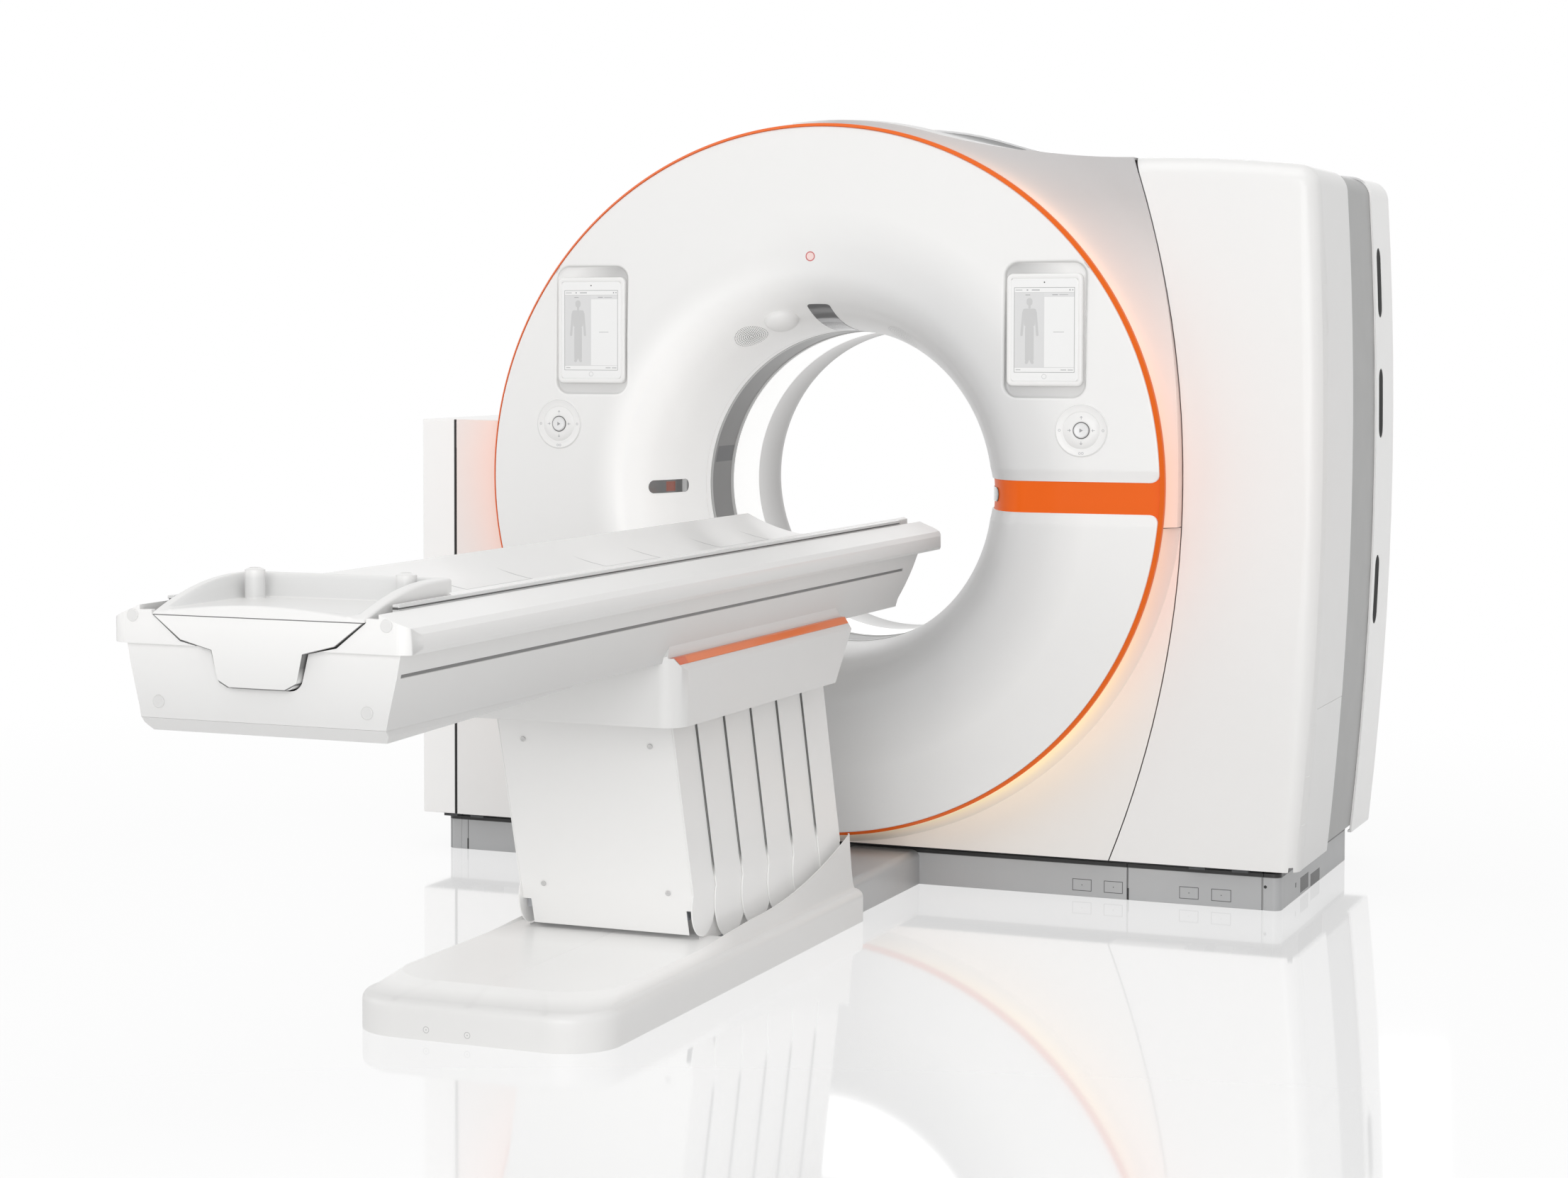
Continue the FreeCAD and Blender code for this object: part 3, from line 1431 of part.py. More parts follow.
def table_board_space():
    """Room that the board's end takes under the tray."""
    return across(board_face(), (board_foot_y - seat_gap, board_head_y))


def connecting_duct():
    """Low cable bridge on the floor between the table's foot and the gantry."""
    y = (table_base_back + seat_gap, plinth_front - seat_gap)
    x = (duct_x - duct_half, duct_x + duct_half)
    outer = box(x, y, (0, duct_height))
    return outer.makeFillet(duct_edge_radius, edges_at(outer, "y", z=duct_height))


# ---------------------------------------------------------------- write the parts
cover = front_cover()
save("front_cover", [cover])
save("rim_light", [rim_light()])
save("orange_band", [orange_band()])
save("funnel_fittings", funnel_fittings())
save("tablets", [tablet(-1), tablet(1)])
save("control_panels", [control_panel(-1), control_panel(1)])
save("left_start_button", [start_button(-1)])
save("right_start_button", [start_button(1)])

dark_ring_y = (throat_y, dark_ring_back)
save("tunnel_dark_ring", [ring(bore_radius, bore_radius + tunnel_wall, dark_ring_y, axis_height)])
window_y = (dark_ring_back, window_back)
save("scan_window", [ring(bore_radius, bore_radius + tunnel_wall, window_y, axis_height)])
rear_ring_y = (window_back, rear_flare_y)
save("rear_ring", [ring(bore_radius, bore_radius + tunnel_wall, rear_ring_y, axis_height)])
save("rear_flare", [rear_flare()])

save("upper_shoulder_cover", [upper_shoulder_cover()])
save("lower_shoulder_cover", [lower_shoulder_cover()])
save("left_shoulder_cover", [left_shoulder_cover()])
save("roof_cover", [roof_cover()])
save("right_side_cover", [right_side_cover()])
save("right_service_panel", [right_service_panel()])
save("right_mid_band", [right_mid_band()])
save("left_side_cover", [left_side_cover()])
save("rear_cover", [rear_cover()])
save("vent_grilles", vent_grilles())

save("base_frame", [base_frame()])
save("cover_posts", cover_posts())
save("plinth_front_panels", plinth_front_panels())
save("plinth_side_panels", plinth_side_panels())
save("plinth_corner_posts", plinth_corner_posts())
save("stator_frame", [stator_frame()])

save("rotor_drum", [rotor_drum()])
save("xray_tube", [xray_tube()])
save("collimator", [collimator()])
save("detector_arc", [detector_arc()])
save("high_voltage_generator", [drum_box(generator_size, generator_angle)])
save("cooling_unit", [drum_box(cooler_size, cooler_angle)])

save("table_plinth", [table_plinth()])
save("link_bearers", bearers())
for index in range(link_count):
    save("slat_" + str(index + 1), slats(index))
save("column_front_plate", [column_front_plate()])
save("front_lift_arms", lift_arms(0))
save("rear_lift_arms", lift_arms(link_count - 1))
save("saddle", [saddle().fuse(saddle_bearers())])
save("saddle_inlays", saddle_inlays())
save("table_trough", [table_trough()])
save("trough_pan", [trough_pan()])
save("table_side_rails", side_rails())
save("board_guides", board_guides())
save("table_board", [table_board().fuse(board_runners()).removeSplitter()])
save("accessory_rails", accessory_rails())
save("foot_plug", [foot_plug()])
save("accessory_tray", [accessory_tray()])
save("connecting_duct", [connecting_duct()])
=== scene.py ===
# %% [markdown]
# A hospital scanner is a big ring of white covers with a patient table in front of it. The packed
# CAD model gives every part in its right place. This lesson dresses it: each cover gets soft edges,
# a plastic with real gloss, and the lights and marks that the hard CAD solids don't carry.

# %% Load the frame
import bpy
import bmesh
import json
import math
import numpy as np
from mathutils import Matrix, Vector

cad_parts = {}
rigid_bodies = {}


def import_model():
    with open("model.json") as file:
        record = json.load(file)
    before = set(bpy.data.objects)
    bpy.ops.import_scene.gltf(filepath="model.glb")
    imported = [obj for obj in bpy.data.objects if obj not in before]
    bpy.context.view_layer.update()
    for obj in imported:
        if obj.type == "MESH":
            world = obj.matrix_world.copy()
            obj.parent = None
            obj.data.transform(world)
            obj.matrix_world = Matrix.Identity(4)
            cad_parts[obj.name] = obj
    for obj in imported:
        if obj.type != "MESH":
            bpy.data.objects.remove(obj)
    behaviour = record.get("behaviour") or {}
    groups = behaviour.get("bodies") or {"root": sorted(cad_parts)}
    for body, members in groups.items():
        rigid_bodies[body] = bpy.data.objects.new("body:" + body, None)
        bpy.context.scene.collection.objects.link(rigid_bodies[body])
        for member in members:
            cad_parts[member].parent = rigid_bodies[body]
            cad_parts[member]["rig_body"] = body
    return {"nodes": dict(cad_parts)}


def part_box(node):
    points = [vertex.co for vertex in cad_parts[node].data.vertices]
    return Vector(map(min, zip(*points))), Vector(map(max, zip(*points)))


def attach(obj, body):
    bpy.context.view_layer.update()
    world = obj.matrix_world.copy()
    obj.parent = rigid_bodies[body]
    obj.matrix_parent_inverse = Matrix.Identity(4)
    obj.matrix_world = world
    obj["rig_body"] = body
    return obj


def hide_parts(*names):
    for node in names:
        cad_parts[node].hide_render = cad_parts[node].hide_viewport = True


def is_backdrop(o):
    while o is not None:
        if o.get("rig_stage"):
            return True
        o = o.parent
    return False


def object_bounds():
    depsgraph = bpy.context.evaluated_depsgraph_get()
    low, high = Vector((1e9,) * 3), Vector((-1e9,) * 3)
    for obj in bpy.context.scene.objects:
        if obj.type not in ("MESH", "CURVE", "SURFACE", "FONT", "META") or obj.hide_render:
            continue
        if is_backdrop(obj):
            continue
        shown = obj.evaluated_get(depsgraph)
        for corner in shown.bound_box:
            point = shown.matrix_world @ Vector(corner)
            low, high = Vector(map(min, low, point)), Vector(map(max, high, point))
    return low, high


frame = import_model()
cad_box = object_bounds()
print("CAD box", [round(c, 3) for c in (*cad_box[0], *cad_box[1])])

# %% [markdown]
# The camera stands at the photograph's own viewpoint: 1.4 metres over the floor, about eight metres
# from the scanner and to the right of the table. A lens shift moves the machine to its place in the
# picture, as a view camera does, so the camera itself tilts down by only two degrees.

# %% Camera
photo_width = 2212
focal_pixels = 4333.8
shift_right_pixels = 250
shift_down_pixels = 180
camera_place = (2.747741, -7.903621, 1.407709)
camera_tilt = 2.35
camera_turn = 24.362
sensor = 36.0
camera_data = bpy.data.cameras.new("camera")
camera_data.sensor_width = sensor
camera_data.lens = focal_pixels / photo_width * sensor
camera_data.shift_x = shift_right_pixels / photo_width
camera_data.shift_y = -shift_down_pixels / photo_width
camera_data.clip_end = 100
camera = bpy.data.objects.new("camera", camera_data)
camera.location = camera_place
camera.rotation_euler = (math.radians(90 - camera_tilt), 0, math.radians(camera_turn))
bpy.context.scene.collection.objects.link(camera)
bpy.context.scene.camera = camera
print("lens", round(camera_data.lens, 1), "mm")

# %% [markdown]
# Shader maths reads best as plain expressions. This class wraps a node's socket, so that
# 1 - mask * 0.3 adds the Math nodes by itself. Any other node comes from one method, node().


# %% Shader expressions
class Value:
    """A number that changes over a surface: a socket with the usual operators."""

    def __init__(self, finish, socket):
        self.finish = finish
        self.socket = socket

    def math(self, operation, *others):
        inputs = {0: self}
        for place, other in enumerate(others, 1):
            inputs[place] = other
        return self.finish.node("ShaderNodeMath", {"operation": operation}, inputs)

    def __add__(self, other):
        return self.math("ADD", other)

    __radd__ = __add__

    def __sub__(self, other):
        return self.math("SUBTRACT", other)

    def __rsub__(self, other):
        return self.math("MULTIPLY", -1.0).math("ADD", other)

    def __mul__(self, other):
        return self.math("MULTIPLY", other)

    __rmul__ = __mul__

    def __truediv__(self, other):
        return self.math("DIVIDE", other)

    def __rtruediv__(self, other):
        return self.finish.node("ShaderNodeMath", {"operation": "DIVIDE"}, {0: other, 1: self})

    def __pow__(self, other):
        return self.math("POWER", other)

    def __abs__(self):
        return self.math("ABSOLUTE")

    def least(self, other):
        return self.math("MINIMUM", other)

    def most(self, other):
        return self.math("MAXIMUM", other)

    def clamped(self):
        return self.most(0.0).least(1.0)

    def below(self, edge, soft):
        """1 where the value is under an edge, 0 above it, with a soft step between."""
        return ((edge - self) / soft + 0.5).clamped()

    def above(self, edge, soft):
        """1 where the value is over an edge, 0 below it, with a soft step between."""
        return ((self - edge) / soft + 0.5).clamped()

    def rising(self, start, length):
        """0 up to a start, then climbing evenly to 1 over a length."""
        return ((self - start) / length).clamped()

    def fading(self, end, length):
        """1 until a length before an end, then falling evenly to 0 there."""
        return ((end - self) / length).clamped()


class Finish:
    """A material with one main shader, and the nodes that feed it."""

    def __init__(self, name, **constants):
        self.material = bpy.data.materials.new(name)
        self.material.use_nodes = True
        self.tree = self.material.node_tree
        self.shader = self.tree.nodes["Principled BSDF"]
        self.set(**constants)

    def node(self, kind, settings=None, inputs=None, output=0):
        """Add a node: its settings first, then the values or links of its sockets."""
        made = self.tree.nodes.new(kind)
        for name, value in (settings or {}).items():
            setattr(made, name, value)
        for place, value in (inputs or {}).items():
            self.feed(made.inputs[place], value)
        return Value(self, made.outputs[output])

    def feed(self, socket, value):
        if isinstance(value, Value):
            self.tree.links.new(value.socket, socket)
        elif isinstance(value, tuple) and len(value) == 3 and socket.type == "RGBA":
            socket.default_value = (*value, 1.0)
        else:
            socket.default_value = value

    def set(self, **values):
        """Give the shader's sockets values or links, by their names with _ for a space."""
        for name, value in values.items():
            self.feed(self.shader.inputs[name.replace("_", " ")], value)
        return self

    def place(self):
        """Object coordinates in metres, as three values."""
        return self.parts(self.node("ShaderNodeTexCoord", output="Object"))

    def parts(self, vector):
        split = self.tree.nodes.new("ShaderNodeSeparateXYZ")
        self.feed(split.inputs[0], vector)
        return [Value(self, out) for out in split.outputs]

    def joined(self, x, y, z):
        return self.node("ShaderNodeCombineXYZ", inputs={0: x, 1: y, 2: z})

    def noise(self, scale, detail=2.0, stretch=(1.0, 1.0, 1.0)):
        """Noise from 0 to 1 on Object coordinates, with its grain stretched along an axis."""
        here = self.node("ShaderNodeTexCoord", output="Object")
        moved = self.node("ShaderNodeMapping", inputs={0: here, 3: stretch})
        return self.node("ShaderNodeTexNoise", inputs={"Vector": moved, "Scale": scale, "Detail": detail})

    def blend(self, amount, first, second):
        """Colour that goes from the first to the second as amount goes from 0 to 1."""
        settings = {"data_type": "RGBA"}
        return self.node("ShaderNodeMix", settings, {0: amount, 6: first, 7: second}, output=2)

    def bump(self, height, distance, strength=1.0):
        inputs = {"Height": height, "Distance": distance, "Strength": strength}
        return self.set(Normal=self.node("ShaderNodeBump", inputs=inputs))


def distance_to(u, v, point=(0.0, 0.0)):
    """Distance from a point, over two values that run at right angles."""
    return ((u - point[0]) ** 2.0 + (v - point[1]) ** 2.0) ** 0.5


def grey(tone):
    """Colour with the same share of red, green and blue."""
    return (tone, tone, tone)


black = grey(0.0)
pure_white = grey(1.0)
print("shader expressions ready")

# %% [markdown]
# The machine stands in a white studio. The floor is a pale glossy sheet that keeps a soft shadow and
# a faint mirror image, and it fades into plain white far from the machine. The fade is made in its
# material, so no extra light falls on the object. A flat sheet is the simplest grid of points, and
# the function that joins a grid's neighbours with quads serves all the surfaces that follow.

# %% Floor and backdrop
def quads_of(points, closed=False, keep=None):
    """Corner indices of a grid's quads. closed joins the last column to the first, keep drops some."""
    rows, columns = points.shape[:2]
    index = np.arange(rows * columns).reshape(rows, columns)
    left = index if closed else index[:, :-1]
    right = np.roll(index, -1, axis=1) if closed else index[:, 1:]
    quads = np.stack([left[:-1], right[:-1], right[1:], left[1:]], -1).reshape(-1, 4)
    return quads if keep is None else quads[keep[quads].all(axis=1)]


def closed(points):
    """A grid of points with its quads, its last column joined to its first."""
    return points, quads_of(points, closed=True)


def sheet_points(half, steps):
    """Flat square about the origin: x and y run evenly from -half to half, z is 0."""
    side = np.linspace(-half, half, steps)
    x, y = np.meshgrid(side, side)
    return np.stack([x, y, np.zeros_like(x)], -1)


floor_middle = -1.3
fade_start, fade_length = 2.2, 2.6
mirror_share = 0.62
floor_finish = Finish("studio_floor", Roughness=0.07, Base_Color=grey(0.9))
x, y, z = floor_finish.place()
fade = distance_to(x, y, (0.0, floor_middle)).rising(fade_start, fade_length) * 0.4 + 0.6
seen = floor_finish.node("ShaderNodeLightPath", output="Is Camera Ray")
mirrored = floor_finish.node("ShaderNodeLightPath", output="Is Glossy Ray")
white = floor_finish.node("ShaderNodeEmission", inputs={"Color": pure_white, "Strength": 1.0})
lit = Value(floor_finish, floor_finish.shader.outputs[0])
mirror = floor_finish.node("ShaderNodeBsdfGlossy", inputs={"Color": pure_white, "Roughness": 0.05})
polished = floor_finish.node("ShaderNodeMixShader", inputs={0: seen * mirror_share, 1: lit, 2: mirror})
white_share = fade * seen.most(mirrored)
mixed = floor_finish.node("ShaderNodeMixShader", inputs={0: white_share, 1: polished, 2: white})
floor_finish.feed(floor_finish.tree.nodes["Material Output"].inputs["Surface"], mixed)
sheet = sheet_points(30.0, 3)
floor_mesh = bpy.data.meshes.new("studio_floor")
floor_mesh.from_pydata(sheet.reshape(-1, 3), [], quads_of(sheet))
floor = bpy.data.objects.new("studio_floor", floor_mesh)
floor.data.materials.append(floor_finish.material)
bpy.context.scene.collection.objects.link(floor)
floor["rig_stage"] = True
print("floor", len(floor.data.polygons), "faces")

# %% [markdown]
# Photographs of white machines need very soft light, or the white burns out. An even white world
# gives most of it. The strongest panel stands in front, beside the camera, and weaker ones above, on
# the left and at the back model the curves. What looks straight at the world, or sees it mirrored,
# gets plain white instead of the dimmer light that falls on the object.

# %% World and lamps
world = bpy.data.worlds.new("studio")
world.use_nodes = True
bpy.context.scene.world = world
world_tree = world.node_tree
backdrop = world_tree.nodes["Background"]
backdrop.inputs["Color"].default_value = (1.0, 1.0, 1.0, 1.0)
backdrop.inputs["Strength"].default_value = 0.6
shown = world_tree.nodes.new("ShaderNodeBackground")
shown.inputs["Color"].default_value = (1.0, 1.0, 1.0, 1.0)
world_path = world_tree.nodes.new("ShaderNodeLightPath")
world_choice = world_tree.nodes.new("ShaderNodeMixShader")
bright_rays = world_tree.nodes.new("ShaderNodeMath")
bright_rays.operation = "MAXIMUM"
world_tree.links.new(world_path.outputs["Is Camera Ray"], bright_rays.inputs[0])
world_tree.links.new(world_path.outputs["Is Glossy Ray"], bright_rays.inputs[1])
world_tree.links.new(bright_rays.outputs[0], world_choice.inputs[0])
world_tree.links.new(backdrop.outputs[0], world_choice.inputs[1])
world_tree.links.new(shown.outputs[0], world_choice.inputs[2])
world_tree.links.new(world_choice.outputs[0], world_tree.nodes["World Output"].inputs["Surface"])


def lamp(name, place, aim, size, power):
    """Square soft panel at a place, turned towards a point."""
    data = bpy.data.lights.new(name, "AREA")
    data.size = size
    data.energy = power
    made = bpy.data.objects.new(name, data)
    made.location = place
    made.rotation_euler = (Vector(aim) - Vector(place)).to_track_quat("-Z", "Y").to_euler()
    bpy.context.scene.collection.objects.link(made)


machine_middle = (0, -0.8, 0.9)
for name, place, size, power in (
    ("front_panel", (2.2, -9.0, 1.9), 5.0, 235),
    ("left_panel", (-6.5, -4.5, 2.5), 4.0, 55),
    ("top_panel", (0.8, -2.5, 6.0), 4.5, 75),
    ("back_panel", (-1.5, 6.5, 4.0), 4.0, 30),
):
    lamp(name, place, machine_middle, size, power)
bpy.context.scene.view_settings.view_transform = "Standard"

# %% [markdown]
# The covers are moulded and painted plastic: near white, satin, with a grain so fine that only the
# highlights show it. One recipe serves every colour. It varies the colour by a percent or two, the
# roughness a little more, and adds the grain as a bump of a few hundredths of a millimetre.


# %% Moulded plastic
grain_scale = 1400.0
cover_colour = (0.84, 0.835, 0.825)
table_colour = (0.83, 0.825, 0.815)


def moulded(name, colour, roughness=0.34, coat=0.15, mottle=0.02):
    """Satin moulded plastic: a finish whose colour, gloss and grain all vary slightly."""
    finish = Finish(name, Coat_Roughness=0.12, Coat_Weight=coat)
    cloud = finish.noise(3.0, 3.0)
    darker = tuple(c * (1 - mottle) for c in colour)
    finish.colour = finish.blend(cloud, darker, colour)
    finish.gloss = roughness + 0.08 * (finish.noise(14.0) - 0.5)
    finish.set(Base_Color=finish.colour, Roughness=finish.gloss)
    return finish.bump(finish.noise(grain_scale), 0.00003, 0.35)


white_cover = moulded("white_cover", cover_colour)
grey_cover = moulded("grey_cover", (0.52, 0.525, 0.53), roughness=0.4)
print("finishes", len(bpy.data.materials))

# %% [markdown]
# A CAD solid has razor edges, which catch no light. A moulded cover has a small radius everywhere.
# The CAD mesh itself stays as it is, so a copy is made: its doubles are merged, its flat faces are
# joined, and a Bevel modifier rounds what is sharp.

# %% Rounded copies of the CAD nodes
body_of_node = {node: made["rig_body"] for node, made in frame["nodes"].items()}


def rounded(node, finish, radius=0.002, angle=28, shape=None):
    """Copy of a CAD node with joined flat faces and rounded edges; shape may move its points."""
    source = bmesh.new()
    source.from_mesh(frame["nodes"][node].data)
    bmesh.ops.remove_doubles(source, verts=source.verts, dist=0.00002)
    bmesh.ops.dissolve_limit(source, angle_limit=math.radians(0.3), verts=source.verts, edges=source.edges)
    mesh = bpy.data.meshes.new(node + "_skin")
    source.to_mesh(mesh)
    source.free()
    if shape:
        points = np.empty(len(mesh.vertices) * 3)
        mesh.vertices.foreach_get("co", points)
        mesh.vertices.foreach_set("co", shape(points.reshape(-1, 3)).ravel())
        mesh.update()
    mesh.shade_smooth()
    mesh.set_sharp_from_angle(angle=math.radians(angle))
    piece = bpy.data.objects.new(node + "_skin", mesh)
    bpy.context.scene.collection.objects.link(piece)
    mesh.materials.clear()
    mesh.materials.append(finish.material)
    if radius:
        bevel = piece.modifiers.new("edges", "BEVEL")
        bevel.width = radius
        bevel.segments = 3
        bevel.limit_method = "ANGLE"
        bevel.angle_limit = math.radians(angle)
    normals = piece.modifiers.new("normals", "WEIGHTED_NORMAL")
    normals.keep_sharp = not radius
    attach(piece, body_of_node[node])
    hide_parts(node)
    return piece


def painted(node, finish):
    """The CAD node itself, with a new finish."""
    mesh = frame["nodes"][node].data
    mesh.materials.clear()
    mesh.materials.append(finish.material)


inner_steel = Finish("inner_steel", Metallic=0.6)
inner_steel.set(Roughness=0.35 + 0.15 * inner_steel.noise(40.0, stretch=(1.0, 12.0, 1.0)))
inner_steel.set(Base_Color=inner_steel.blend(inner_steel.noise(6.0), (0.42, 0.43, 0.45), (0.5, 0.51, 0.53)))
inner_paint = moulded("inner_paint", (0.34, 0.36, 0.39), roughness=0.5)
dark_paint = moulded("dark_paint", (0.05, 0.052, 0.055), roughness=0.55, coat=0.0)
for node in ("rotor_drum", "collimator", "link_bearers", "board_guides"):
    painted(node, inner_steel)
for node in (
    "stator_frame", "xray_tube", "detector_arc", "high_voltage_generator", "cooling_unit",
    "front_lift_arms", "rear_lift_arms",
):
    painted(node, inner_paint)
for node in ("base_frame", "cover_posts"):
    painted(node, dark_paint)
print("CAD nodes", len(frame["nodes"]))

# %% [markdown]
# The front cover is a disc turned about the tunnel: flat outside, then a flare that rolls into the
# tunnel like a trumpet's mouth. A grid is the natural mesh for it. Its rows follow the profile and
# its columns go round, and the outer row is pulled onto the rim, whose centre lies a little higher.

# %% Measures of the disc
def half_width(low, high):
    """Half of a box's size along x."""
    return (high.x - low.x) / 2


ring_low, ring_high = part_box("tunnel_dark_ring")
rim_low, rim_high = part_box("rim_light")
cover_low, cover_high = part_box("front_cover")
axis_height = (ring_low.z + ring_high.z) / 2
rim_height = (rim_low.z + rim_high.z) / 2
rim_radius = half_width(rim_low, rim_high)
tunnel_radius = 0.410
flare_radius = 0.560
flat_radius = 0.640
throat = ring_low.y
face_front = cover_low.y
rim_drop = 0.016
face_slope = rim_drop / (rim_radius - flat_radius)
print("disc", round(half_width(cover_low, cover_high), 4), "rim", round(rim_radius, 4))
print("tunnel's axis", round(axis_height, 4), "and rim's middle", round(rim_height, 4))

# %% [markdown]
# Every new surface is built by one function. It takes grids of points, joins neighbours with quads,
# and turns the faces so that they look the way that is asked, such as forward or towards an axis.

# %% Surfaces from grids
def skin(name, grids, finish, body, facing, along=None):
    """Mesh from (points, quads) pairs; facing gives each point the way that its surface looks."""
    start = 0
    points = []
    quads = []
    for grid, faces in grids:
        points.append(grid.reshape(-1, 3))
        quads.append(faces + start)
        start += len(points[-1])
    points = np.concatenate(points)
    quads = np.concatenate(quads)
    corner = points[quads]
    normal = np.cross(corner[:, 2] - corner[:, 0], corner[:, 3] - corner[:, 1])
    if (normal * facing(corner.mean(axis=1))).sum() < 0:
        quads = quads[:, ::-1]
    mesh = bpy.data.meshes.new(name)
    mesh.from_pydata(points, [], quads)
    if along is not None:
        walk = mesh.attributes.new("along", "FLOAT", "POINT")
        walk.data.foreach_set("value", along.astype(np.float32))
    mesh.shade_smooth()
    mesh.materials.append(finish.material)
    piece = bpy.data.objects.new(name, mesh)
    bpy.context.scene.collection.objects.link(piece)
    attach(piece, body)
    return piece


def forward(points):
    """Towards the table, the same everywhere."""
    return np.array([0.0, -1.0, 0.0]) + 0 * points


def to_axis(points):
    """Towards the tunnel's axis."""
    return np.stack([-points[:, 0], 0 * points[:, 0], axis_height - points[:, 2]], -1)


def from_rim_centre(points):
    """Away from the rim's centre and towards the table."""
    return np.stack([points[:, 0], -0.5 + 0 * points[:, 0], points[:, 2] - rim_height], -1)


def turned_points(profile, angles, height):
    """Profile of (radius, y) points carried round a Y axis: x is radius times cosine, z adds sine."""
    radius = profile[:, None, 0]
    x = radius * np.cos(angles)[None]
    z = height + radius * np.sin(angles)[None]
    y = profile[:, None, 1] + 0 * x
    return np.stack([x, y, z], -1)


def rounded_profile(corners, radius, steps=5):
    """Open (radius, y) outline whose inner corners are rounded by short quadratic curves."""
    corners = np.array(corners, float)
    t = np.linspace(0, 1, steps)[:, None]
    pieces = [corners[:1]]
    for before, corner, after in zip(corners[:-2], corners[1:-1], corners[2:]):
        reach = [min(radius, np.linalg.norm(end - corner) / 2) for end in (before, after)]
        start = corner + (before - corner) / np.linalg.norm(before - corner) * reach[0]
        end = corner + (after - corner) / np.linalg.norm(after - corner) * reach[1]
        pieces.append((1 - t) ** 2 * start + 2 * t * (1 - t) * corner + t ** 2 * end)
    pieces.append(corners[-1:])
    return np.concatenate(pieces)


full_turn = np.linspace(0, 2 * np.pi, 361)[:-1]
print("columns in a full turn:", len(full_turn))

# %% [markdown]
# Most details lie on the disc's curved face, so they need its profile: distance walked from the
# tunnel's edge outwards, with the radius and depth there. A detail is then drawn flat, as loops of
# points, and laid on the face with a lift along the face's normal.

# %% Laying details on the disc
turn = np.linspace(0, np.pi / 2, 61)
flare_curve = flare_radius - (flare_radius - tunnel_radius) * np.cos(turn)
profile = np.stack([flare_curve, throat + (face_front - throat) * np.sin(turn)], -1)
profile = np.concatenate([profile, [[flat_radius, face_front], [rim_radius, face_front + rim_drop]]])
walked = np.concatenate([[0], np.cumsum(np.hypot(*np.diff(profile, axis=0).T))])
slope = np.gradient(profile, walked, axis=0)


def laid(distance, offset, angle, lift):
    """Point walked outwards along the profile, then offset round the axis from an angle, then lifted."""
    radius, y = (np.interp(distance, walked, profile[:, i]) for i in (0, 1))
    out, down = (np.interp(distance, walked, slope[:, i]) for i in (0, 1))
    length = np.hypot(out, down)
    lifted = radius + lift * down / length
    turned = angle + offset / radius
    z = axis_height + lifted * np.sin(turned)
    return np.stack([lifted * np.cos(turned), y - lift * out / length, z], -1)


def walked_to(radius):
    """Distance walked where the face reaches a radius."""
    return float(np.interp(radius, profile[:, 0], walked))


def loop(half, corner, grow=0.0, steps=12, run=12):
    """Closed rounded rectangle moved outwards by grow: four quarter circles joined by straight runs."""
    turn = np.linspace(0, np.pi / 2, steps)
    corner = min(corner, *half)
    arcs = []
    for quarter, sign in enumerate(((1, 1), (-1, 1), (-1, -1), (1, -1))):
        centre = (np.array(half) - corner) * sign
        angle = turn + quarter * np.pi / 2
        arcs.append(centre + max(corner + grow, 0.0) * np.stack([np.cos(angle), np.sin(angle)], -1))
    share = np.linspace(0, 1, run + 2)[1:-1, None]
    joined = []
    for arc, following, long in zip(arcs, arcs[1:] + arcs[:1], (half[0] > corner, half[1] > corner) * 2):
        joined += [arc, arc[-1] + (following[0] - arc[-1]) * share] if long else [arc[:-1]]
    return np.concatenate(joined)


def filled(half, corner, rows, place):
    """Rings of a rounded rectangle, one per (grow, lift) row, then closed towards the middle."""
    grids = [place(*loop(half, corner, grow).T, lift) for grow, lift in rows]
    grow, lift = rows[-1]
    last = loop(half, corner, grow)
    grids += [place(*(last * share).T, lift) for share in np.append(np.arange(0.92, 0.05, -0.08), 0.001)]
    return closed(np.stack(grids))


def edge_rows(radius, top, foot, steps=5):
    """(grow, lift) rows from a foot up a wall and over a rounded edge to the top."""
    turn = np.linspace(0, np.pi / 2, steps)
    rounded_rows = [(-radius * (1 - np.cos(a)), top - radius * (1 - np.sin(a))) for a in turn]
    return [(0.0, foot)] + rounded_rows


print("profile", round(walked[-1], 3), "m long")

# %% [markdown]
# The pockets behind the tablets are pressed into the disc. Cutting them out of the round grid would
# leave ragged edges, so each pocket brings its own patch: rings of one rounded rectangle that run
# from the face over a soft edge down to the floor. The disc's quads under the patch are left out.
# The disc's last row, and its first and last columns beside the band, drop straight back, so that no
# one looks behind it through the slit at the rim or over the edges of the band.


# %% The disc with its pockets
def face_y(x, z):
    """Height of the disc's face: level to the flat radius, then falling evenly to the rim."""
    return face_front + np.maximum(np.hypot(x, z - axis_height) - flat_radius, 0) * face_slope


edge_gap = 0.0085
shown_radius = rim_radius - edge_gap
pocket_x, pocket_z = 0.612, axis_height + 0.411
pocket_half = np.array([0.102, 0.1665])
pocket_corner = 0.034
pocket_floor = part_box("tablets")[1].y + 0.0003
pocket_edge = 0.007
lip_radius = 0.003


def off_pocket(x, z):
    """Distance outside a rounded rectangle about a pocket's middle, negative inside."""
    reach = np.stack([np.abs(np.abs(x) - pocket_x), np.abs(z - pocket_z)], -1) - pocket_half + pocket_corner
    return np.hypot(*np.moveaxis(np.maximum(reach, 0), -1, 0)) + np.minimum(reach.max(-1), 0) - pocket_corner


def pocket_loop(grow):
    """A pocket's outline, moved outwards by grow."""
    return loop(pocket_half, pocket_corner, grow, 20)


